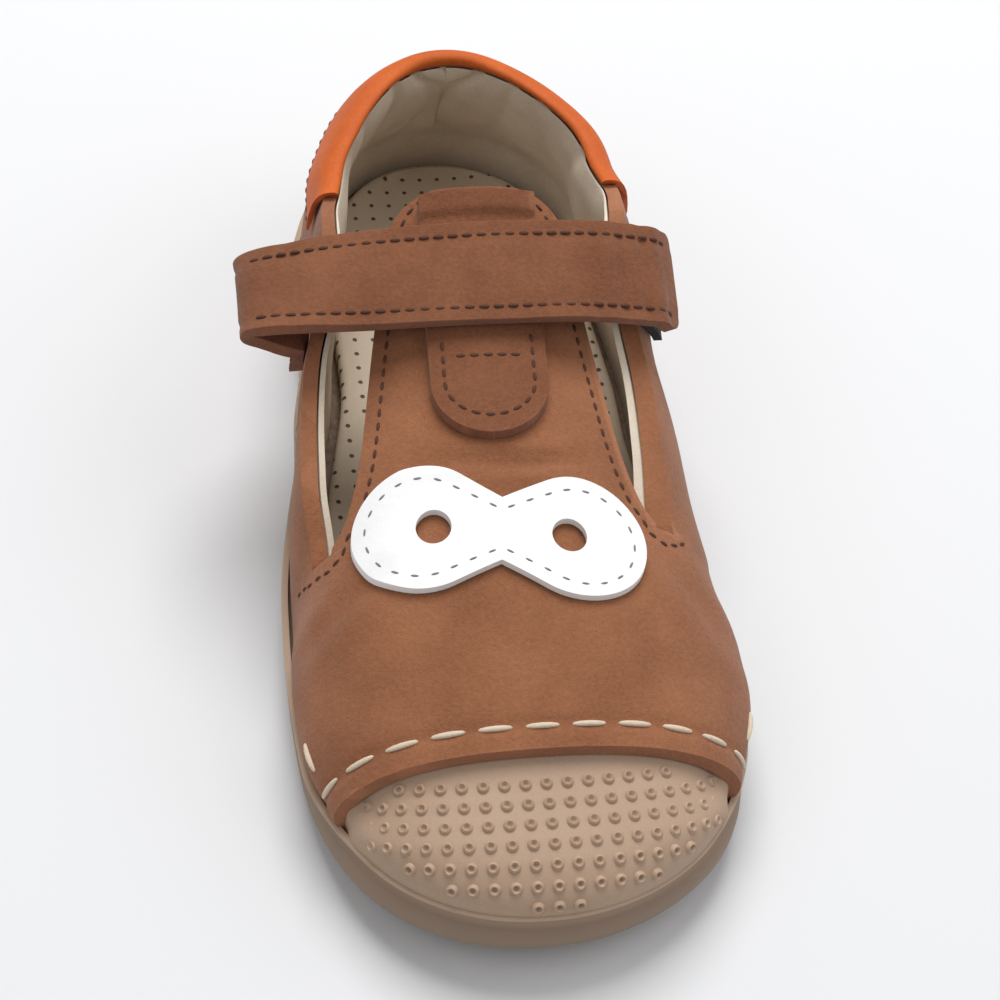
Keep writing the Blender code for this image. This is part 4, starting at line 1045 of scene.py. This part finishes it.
def makeBumper():
    look = bumperLook
    grids = []
    for inside in (0.0, look["wall"]):
        share = (1 - np.cos(math.pi / 2 * np.arange(look["rows"] + 1) / look["rows"]))[:, None]
        y = lerp(toe + look["start"] + soleLook["ridgeIn"] + inside, toe + shoe["bumperReach"] + look["tuck"], share)
        angle = (math.pi * np.arange(look["columns"] + 1) / look["columns"])[None, :]
        y, angle = np.broadcast_arrays(y, angle)
        proud = shoe["inset"] - bumperInset(y, np.sin(angle)) - inside
        grids.append(footed(sectionPoint(y, angle, proud)))
    shell("toe_bumper", [tuple(grids)], finish["rubber"], 60)

    points, faces = [], []
    for x, y in studSpots():
        turn = math.asin(float(sineAt(x, y, 0.0)))
        if y < frontEdge(turn) - look["vampGap"] and turn > look["lowest"]:
            place = onBumper(np.array([x]), np.array([y]))[0]
            normal = normalsOf(onBumper, np.array([x]), np.array([y]))[0]
            normal = normal if normal[2] > 0 else -normal
            side = np.cross(normal, [0, 1, 0.2])
            side /= np.linalg.norm(side)
            ahead = np.cross(normal, side)
            first = len(points)
            for radius, high in look["stud"]:
                for m in range(look["studSides"]):
                    a = 2 * math.pi * m / look["studSides"]
                    out = (side * math.cos(a) + ahead * math.sin(a)) * radius * look["studRadius"]
                    points.append(place + out + normal * high * look["studHeight"])
            faces += gridFaces(len(look["stud"]), look["studSides"], first, closed=True)
            last = first + (len(look["stud"]) - 1) * look["studSides"]
            faces.append(tuple(range(last + look["studSides"] - 1, last - 1, -1)))
    addPiece("toe_studs", points, faces, finish["rubber"], 60)


makeSole()
makeBumper()


def makeOval():
    look = soleLook
    x, y = -look["ovalPlace"][1] * shoe["ball"], heel - look["ovalPlace"][0] * shoe["length"]
    base = float(bottomHeight(np.array(y)))
    points, count = [], 64
    c, s = math.cos(look["ovalTurn"]), math.sin(look["ovalTurn"])
    for share, z in look["ovalRings"]:
        for k in range(count):
            a = 2 * math.pi * k / count
            px, py = share * look["ovalLength"] / 2 * math.cos(a), share * look["ovalWidth"] / 2 * math.sin(a)
            points.append((x + px * c - py * s, y + px * s + py * c, base + z))
    faces = tube(len(look["ovalRings"]), count)
    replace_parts(addPiece("oval_insert", points, faces, finish["orangeRubber"]), "sole_insert")


makeOval()
print("sole done")

# Orange collar band
collarLook = {
    "start": 0.0400, "height": 0.0090, "thickness": 0.0013, "steps": 120,
    "stitchTo": 0.070, "stitchDown": 0.86, "stitchOut": 0.95,
    # the band's section: how far it stands out, how far above the topline
    "section": (
        (0.45, -1.00), (0.95, -0.97), (1.15, -0.50), (1.15, -0.08), (0.60, 0.14), (-0.70, 0.19),
        (-1.50, 0.12), (-1.60, 0.034), (0.45, 0.034),
    ),
}


def makeCollar():
    look = collarLook
    rows = list(look["section"])
    corners = [rows[0]]
    for a, b in zip(rows, rows[1:] + rows[:1]):
        corners += [tuple(lerp(np.array(a), np.array(b), t)) for t in (0.25, 0.75)]
    section = corners[1:]
    end = heel - shoe["inset"]
    rings = []
    for side, share in roundHeel(look["steps"]):
        ring = []
        for stand, over in section:
            proud = stand * look["thickness"]
            y = lerp(look["start"], end + proud, share)
            z = topline(y, side) + over * look["height"]
            ring.append(wallPoint(y, side, z, proud))
        rings.append(ring)
    points = [point for ring in rings for point in ring]
    faces = tube(len(rings), len(section))
    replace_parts(addPiece("collar_leather", points, faces, finish["orange"], 70), "collar_band")


makeCollar()

# Keeper tab on the T-bar
keeperLook = {
    "width": 0.0178, "thickness": 0.0018, "toeEnd": -0.0100, "heelEnd": 0.0272, "rows": 70,
    "columns": 28, "roundRows": 22, "blunt": 0.92, "raise": 0.0008, "raiseFrom": 0.0235, "raiseRun": 0.0012,
    # stitches: end of the U, place of the row across and how far it stays in, the U's bend
    "edge": 0.0005, "stitchTo": 0.0060, "rowAt": 0.0022, "rowIn": 0.0016, "bendIn": 0.0006, "bend": 0.8,
}


def makeKeeper():
    look = keeperLook
    half = look["width"] / 2
    turn = np.linspace(0.04, 1, look["roundRows"]) * math.pi / 2
    straight = look["toeEnd"] + half * look["blunt"]
    ys = np.concatenate([
        look["toeEnd"] + half * look["blunt"] * (1 - np.cos(turn)),
        lerp(straight, look["heelEnd"], np.linspace(0, 1, look["rows"])[1:]),
    ])
    reach = np.concatenate([half * np.sin(turn), np.full(look["rows"] - 1, half)])
    across = 2 * np.arange(look["columns"] + 1) / look["columns"] - 1
    x = tBarX(ys)[:, None] + reach[:, None] * across[None, :]
    y = np.broadcast_to(ys[:, None], x.shape)
    grids = []
    for proud in (shoe["gap"] + look["thickness"], shoe["gap"]):
        raised = look["raise"] * smoothStep((y - look["raiseFrom"]) / look["raiseRun"]) * (proud > shoe["gap"])
        grids.append(overTop(x, y, proud + raised))
    # the keeper gets the darker copy of the nubuck, which is painted shade
    piece = shell("keeper_leather", [tuple(grids)], finish["nubuckShadedCopy"], 55)
    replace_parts(piece, "keeper_tab")
    bevelled(piece, look["edge"])


makeKeeper()

# White eye-shaped patch
patchLook = {
    "station": -0.0245, "turn": math.radians(-7), "length": 0.0435, "lobe": 0.0093, "waist": 0.0098,
    "thickness": 0.0012, "hole": 0.0026, "spacing": 0.0199, "stitchIn": 0.0019, "stretch": 1.10, "edge": 0.0004,
    "columns": 60, "rows": 36, "sideMargin": 0.003, "endMargin": 0.005,
}


def patchOutline(lobe, waist, length, steps):
    stretch = patchLook["stretch"]
    reach, notch = length / stretch / 2 - lobe, waist / 2
    tangent = math.atan2(notch, reach) + math.acos(min(lobe / math.hypot(reach, notch), 1))
    points = []
    for k in range(steps + 1):
        angle = lerp(tangent, 2 * math.pi - tangent, k / steps)
        points.append((-reach + lobe * math.cos(angle), lobe * math.sin(angle)))
    points.append((0.0, -notch))
    points += [(-x, -y) for x, y in points]
    return [(stretch * x, y) for x, y in points]


def placedOnPatch(x, y):
    look = patchLook
    middle = tBarX(look["station"])
    c, s = math.cos(look["turn"]), math.sin(look["turn"])
    return middle + x * c - y * s, look["station"] + x * s + y * c


def prism(name, outline, low=0.0, high=0.09):
    points = [(x, y, z) for z in (low, high) for x, y in outline]
    return newObject(name, points, tube(2, len(outline)), weld=False)


def applyAll(piece, cutters):
    bpy.context.view_layer.update()
    graph = bpy.context.evaluated_depsgraph_get()
    mesh = bpy.data.meshes.new_from_object(piece.evaluated_get(graph))
    piece.modifiers.clear()
    piece.data = mesh
    smoothed(mesh, 40)
    for cutter in cutters:
        bpy.data.objects.remove(cutter)


def makePatch():
    look = patchLook
    middle = tBarX(look["station"])
    xs = middle + (look["length"] / 2 + look["sideMargin"]) * np.linspace(-1, 1, look["columns"] + 1)
    ys = look["station"] + (look["lobe"] + look["endMargin"]) * np.linspace(-1, 1, look["rows"] + 1)
    x, y = np.meshgrid(xs, ys)
    grids = tuple(creased(x, y, shoe["gap"] + proud) for proud in (look["thickness"], 0.0))
    piece = shell("eye_patch_leather", [grids], finish["white"])
    outline = [placedOnPatch(a, b) for a, b in patchOutline(look["lobe"], look["waist"], look["length"], 44)]
    cutters = [prism("cutOutline", outline)]
    for side in (inner, outer):
        ring = 2 * math.pi * np.arange(40) / 40
        spots = zip(side * look["spacing"] / 2 + look["hole"] * np.cos(ring), look["hole"] * np.sin(ring))
        cutters.append(prism("cutHole", [placedOnPatch(x, y) for x, y in spots]))
    for number, cutter in enumerate(cutters):
        modifier = piece.modifiers.new("cut", "BOOLEAN")
        modifier.operation = "DIFFERENCE" if number else "INTERSECT"
        modifier.solver = "EXACT"
        modifier.object = cutter
    applyAll(piece, cutters)
    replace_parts(piece, "eye_patch")
    bevelled(piece, look["edge"])


makePatch()
print("small pieces done")

# Strap with a turned end inside and a free end outside
strapLook = {
    "station": 0.0148, "width": 0.0158, "thickness": 0.0022, "standOff": 0.0004, "lift": 0.0006,
    "reach": 0.0358, "fastener": 0.0012, "steps": 12, "across": 14, "seam": 0.0021,
    "fold": (
        (-0.25, -0.010, 2), (-0.50, -0.034, 7), (-0.74, -0.064, 14), (-0.90, -0.100, 20), (-0.985, -0.150, 24),
        (-0.99, -0.215, 24), (-0.93, -0.275, 22), (-0.85, -0.320, 18),
    ),
    "outerRun": ((0.20, -0.006), (0.38, -0.020), (0.53, -0.046)),
    "outerDrops": (-0.12, -0.175, -0.23), "innerDrops": (-0.42, -0.50, -0.58),
    # rounded free end: where it starts before the line's first point, its run and its power
    "roundStart": 2.2, "roundRun": 10.0, "roundPower": 2.6, "edge": 0.0006,
    # dents across the strap: place along it, depth, width; and the line pressed in by the stitches
    "dents": ((27, 0.00035, 1.4), (32, 0.00030, 1.6), (40, 0.00020, 2.2), (112, 0.0002, 3.0)),
    "seamDepth": 0.00022, "seamWidth": 0.0006, "wave": 0.00015, "stitchFrom": 8, "stitchBefore": 78,
}


def strapFrame():
    look = strapLook
    step = look["width"] * 0.4
    x = tBarX(look["station"])
    low = float(closedHeight(x, look["station"] - step, 0.0))
    high = float(closedHeight(x, look["station"] + step, 0.0))
    way = np.array([0, 2 * step, high - low])
    way /= np.linalg.norm(way)
    up = np.array([0, -way[2], way[1]])
    clear = 2 * shoe["gap"] + keeperLook["thickness"] + shoe["gap"] + look["thickness"] / 2
    return np.array([x, look["station"], (low + high) / 2]) + up * clear, way, up


def strapLine():
    look = strapLook
    middle, _, up = strapFrame()
    halfThick = look["thickness"] / 2

    def wingOffset(drop, side, proud):
        place = middle + up * drop
        return float(wallPoint(place[1], side, place[2], proud)[0]) - middle[0]

    over = look["fastener"] + 2 * shoe["gap"] + halfThick + look["standOff"]
    rows = []
    for k, share in reversed(list(enumerate(look["outerDrops"]))):
        drop = share * look["reach"]
        rows.append((wingOffset(drop, outer, over) + k * look["lift"], drop, 0.0))
    rows += [(a * look["reach"], b * look["reach"], 0.0) for a, b in reversed(look["outerRun"])]
    rows.append((0.0, 0.0, 0.0))
    rows += [(a * look["reach"], b * look["reach"], tilt) for a, b, tilt in look["fold"]]
    for share in look["innerDrops"]:
        drop = share * look["reach"]
        rows.append((wingOffset(drop, inner, shoe["gap"] + halfThick), drop, look["fold"][-1][2]))
    return smoothLine(rows, look["steps"])


def strapSurface(places, side, lift):
    # points of the strap at places along its line and shares across it, lifted off its middle plane
    middle, way, up = strapFrame()
    line = strapLine()
    number = np.arange(len(line))
    across, drop, tilt = (np.interp(places, number, line[:, k]) for k in range(3))
    slopeX = np.interp(places, number, np.gradient(line[:, 0]))
    slopeZ = np.interp(places, number, np.gradient(line[:, 1]))
    size = np.hypot(slopeX, slopeZ)
    slopeX, slopeZ = slopeX / size, slopeZ / size
    turn = np.radians(tilt)[..., None]
    acrossWay = way * np.cos(turn) - up * np.sin(turn)
    upWay = up * np.cos(turn) + way * np.sin(turn)
    normal = np.zeros(acrossWay.shape)
    normal[..., 0] = slopeZ
    normal = normal - upWay * slopeX[..., None]
    normal /= np.linalg.norm(normal, axis=-1, keepdims=True)
    place = middle + np.stack([across, np.zeros_like(across), np.zeros_like(across)], -1) + up * drop[..., None]
    return place + acrossWay * side[..., None] + normal * lift[..., None], normal


def strapHalf(places):
    return strapLook["width"] / 2 * rounding(
        places + strapLook["roundStart"], strapLook["roundRun"], strapLook["roundPower"]
    )


def makeStrap():
    look = strapLook
    line = strapLine()
    places = np.arange(len(line), dtype=float)[:, None]
    share = np.linspace(-1, 1, look["across"] + 1)[None, :]
    side = share * strapHalf(places)
    where = np.broadcast_to(places, side.shape)
    soft = np.zeros_like(side)
    for at, deep, wide in look["dents"]:
        soft -= deep * bell(where - at, wide)
    for seam in (-1, 1):
        soft -= look["seamDepth"] * bell(side - seam * (look["width"] / 2 - look["seam"]), look["seamWidth"])
    soft += look["wave"] * np.sin(where * 0.21) * np.sin(share * 2.2 + 0.5)
    faces = []
    for face in (1, -1):
        lift = face * look["thickness"] / 2 + (soft if face == 1 else 0.4 * soft)
        faces.append(strapSurface(where, side, lift)[0])
    down = where[:, 0] > len(line) - 3 * look["steps"]
    for k in np.nonzero(down)[0]:
        sunk = 0.0
        for face in faces:
            wall = wallPoint(face[k, :, 1], inner, face[k, :, 2], shoe["gap"])[:, 0]
            sunk = np.maximum(sunk, face[k, :, 0] - wall)
        for face in faces:
            face[k, :, 0] -= np.maximum(sunk, 0)
    # the strap gets the darker copy of the nubuck, which is painted shade
    piece = shell("strap_leather", [tuple(faces)], finish["nubuckShadedCopy"], 55)
    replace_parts(piece, "strap")
    bevelled(piece, look["edge"], 3)


makeStrap()
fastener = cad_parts["fastener_patch"]
fastener.data.materials.clear()
fastener.data.materials.append(finish["fuzz"])
print("strap done")

# Stitches
threads = {
    # pitch, length, width and height of a stitch
    "fine": (0.0022, 0.0016, 0.00060, 0.00050), "patch": (0.0030, 0.0013, 0.00036, 0.0003),
    "vamp": (0.0070, 0.0050, 0.0009, 0.0009),
    "vampBack": 0.0034, "vampTurn": 0.20, "vampSide": 0.0090, "vampLift": 0.0002, "sunk": 0.00008,
    "barIn": 0.0021, "keeperIn": 0.0021,
    "tipTurn": ((0.0010, 0.0014), (0.0032, 0.0024), (0.0056, 0.0018), (0.0072, 0.0004)),
}


def onTop(xy, proud):
    x, y = np.asarray(xy).T
    normal = normalsOf(lambda a, b: creased(a, b, proud), x, y)
    normal *= np.sign(normal[:, 2:3])
    return creased(x, y, proud), normal


def rowOnTop(xy, proud, pitch, length, width, height, start=0.5):
    places, ways = spaced(onTop(xy, proud)[0], pitch, start)
    points, normals = onTop(places[:, :2], proud)
    return points, ways, normals, length, width, height


def makeStitches():
    look = threads
    fine = look["fine"]
    dark, grey, cream = [], [], []
    # strap
    line = strapLine()
    top = strapLook["thickness"] / 2
    for seam in (-1, 1):
        places = np.arange(strapLook["stitchFrom"], len(line) - strapLook["stitchBefore"], 0.5)
        side = seam * (strapHalf(places) - strapLook["seam"])
        points, normals = strapSurface(places, side, np.full_like(places, top - look["sunk"]))
        spots, ways = spaced(points, fine[0])
        dark.append((spots, ways, normals[closest(points, spots)], *fine[1:]))
    # T-bar edges, from the top edge round each tip
    for side in (inner, outer):
        run = []
        for part in np.linspace(0.985, 0.02, 60):
            y = lerp(shoe["tip"], shoe["tBarEnd"], part)
            half = rowValue(tBarTable, 1, 1 - part) * shoe["tBarWidth"] - look["barIn"]
            run.append((float(tBarX(y) + side * half), float(y)))
        tipX = run[-1][0]
        run += [(tipX + side * away, shoe["tip"] - down) for away, down in look["tipTurn"]]
        dark.append(rowOnTop(run, 0.0, *fine))
    # keeper tab: a U and a row across
    keep = keeperLook
    half = keep["width"] / 2 - look["keeperIn"]
    proud = shoe["gap"] + keep["thickness"]
    base = keep["toeEnd"] + look["keeperIn"] + keep["bendIn"]
    deep = half * keep["bend"]
    bend = [(half * math.cos(a), base + deep * (1 - math.sin(a))) for a in np.linspace(0, math.pi, 24)]
    run = [(half, keep["stitchTo"])] + bend + [(-half, keep["stitchTo"])]
    run = [(float(tBarX(y)) + x, y) for x, y in run]
    dense = np.concatenate([np.linspace(a, b, 8)[:-1] for a, b in zip(run[:-1], run[1:])])
    dark.append(rowOnTop(dense, proud, *fine))
    across = np.linspace(-half + keep["rowIn"], half - keep["rowIn"], 20)
    cross = [(float(tBarX(keep["rowAt"])) + x, keep["rowAt"]) for x in across]
    dark.append(rowOnTop(cross, proud, *fine))
    # patch
    back = patchLook["stitchIn"]
    outline = patchOutline(patchLook["lobe"] - back, patchLook["waist"] - 2 * back, patchLook["length"] - 2 * back, 60)
    run = [placedOnPatch(a, b) for a, b in outline]
    run.append(run[0])
    grey.append(rowOnTop(run, shoe["gap"] + patchLook["thickness"], *look["patch"]))
    # vamp edge, and the collar's lower edge
    angles = np.linspace(look["vampTurn"], math.pi - look["vampTurn"], 240)
    backs = frontEdge(angles) + look["vampBack"]
    turned = np.linspace(look["vampSide"], 0.0008, 40)
    angles = np.concatenate([np.full(40, angles[0]), angles, np.full(40, angles[-1])])
    backs = np.concatenate([backs[0] + turned, backs, backs[-1] + turned[::-1]])
    edge = vampSurface(backs, angles, 0.0)
    places, ways = spaced(edge, look["vamp"][0])
    near = closest(edge, places)
    normals = normalsOf(lambda y, angle: vampSurface(y, angle, 0.0), backs[near], angles[near])
    normals *= np.sign(normals[:, 2:3])
    cream.append((places + normals * look["vampLift"], ways, normals, *look["vamp"][1:]))
    for side in (inner, outer):
        ys = np.linspace(collarLook["start"] + 0.001, collarLook["stitchTo"], 80)
        z = topline(ys, side) - collarLook["height"] * collarLook["stitchDown"]
        proud = collarLook["thickness"] * collarLook["stitchOut"]
        points = wallPoint(ys, side, z, proud)
        spots, ways = spaced(points, fine[0])
        where = closest(points, spots)
        normals = normalsOf(lambda y, height: wallPoint(y, side, height, proud), ys[where], z[where])
        normals *= np.sign(normals[:, 0:1]) * side
        dark.append((spots, ways, normals, *fine[1:]))
    addStitches("stitches_dark", dark, finish["darkThread"])
    addStitches("stitches_patch", grey, finish["greyThread"])
    addStitches("stitches_vamp", cream, finish["creamThread"])


makeStitches()
print("stitches done")

# Floor, light and camera
studio = {
    "camera": (-0.05985, -0.2488, 0.3386), "aim": (0.0022, -0.0091, 0.0207), "right": (0.9976, -0.0698, 0.0),
    "lens": 95.0, "key": ((0.02, 0.38, 0.80), 0.55, 6.2), "fill": ((0.55, -0.10, 0.60), 0.80, 1.5),
    "front": ((-0.50, -0.30, 0.65), 0.70, 1.0), "sky": 0.34, "backdrop": 0.90, "floor": (0.775, 0.78, 0.79),
    "floorSize": 4.0, "floorDrop": 0.0002, "skyColour": (0.97, 0.98, 1.0), "lightAim": (0.0, 0.0, 0.02),
}


def makeStudio():
    mesh = bpy.data.meshes.new("floor")
    size, low = studio["floorSize"], -studio["floorDrop"]
    corners = [(-size, -size, low), (size, -size, low), (size, size, low), (-size, size, low)]
    mesh.from_pydata(corners, [], [(0, 1, 2, 3)])
    floor = bpy.data.objects.new("floor", mesh)
    bpy.context.scene.collection.objects.link(floor)
    material, tree, shader = principled("floorPaper", 0.9, Specular_IOR_Level=0.1)
    shader.inputs["Base Color"].default_value = (*studio["floor"], 1)
    # clear from below, so that the tread can be looked at
    clear = node(tree, "ShaderNodeMixShader")
    join(tree, node(tree, "ShaderNodeNewGeometry").outputs["Backfacing"], clear.inputs[0])
    join(tree, shader.outputs[0], clear.inputs[1])
    join(tree, node(tree, "ShaderNodeBsdfTransparent").outputs[0], clear.inputs[2])
    join(tree, clear.outputs[0], tree.nodes["Material Output"].inputs["Surface"])
    mesh.materials.append(material)
    for name in ("key", "fill", "front"):
        place, size, power = studio[name]
        light = bpy.data.lights.new(name, "AREA")
        light.shape = "DISK"
        light.size = size
        light.energy = power
        lamp = bpy.data.objects.new(name, light)
        lamp.location = place
        lamp.rotation_euler = (Vector(studio["lightAim"]) - Vector(place)).to_track_quat("-Z", "Y").to_euler()
        bpy.context.scene.collection.objects.link(lamp)
    world = bpy.data.worlds.new("studio")
    world.use_nodes = True
    tree = world.node_tree
    sky = tree.nodes["Background"].inputs
    join(tree, studio["skyColour"], sky["Color"])
    # the sky is brighter to the camera than to the shoe
    seen = node(tree, "ShaderNodeLightPath").outputs["Is Camera Ray"]
    strength = maths(tree, "MULTIPLY", seen, studio["backdrop"] - studio["sky"])
    join(tree, maths(tree, "ADD", strength, studio["sky"]), sky["Strength"])
    bpy.context.scene.world = world
    bpy.context.scene.view_settings.view_transform = "Standard"
    data = bpy.data.cameras.new("camera")
    data.lens = studio["lens"]
    data.clip_start = 0.01
    camera = bpy.data.objects.new("camera", data)
    ahead = (Vector(studio["aim"]) - Vector(studio["camera"])).normalized()
    right = Vector(studio["right"])
    right = (right - ahead * right.dot(ahead)).normalized()
    turn = Matrix((right, right.cross(ahead), -ahead)).transposed()
    camera.matrix_world = Matrix.Translation(studio["camera"]) @ turn.to_4x4()
    bpy.context.scene.collection.objects.link(camera)
    bpy.context.scene.camera = camera


makeStudio()
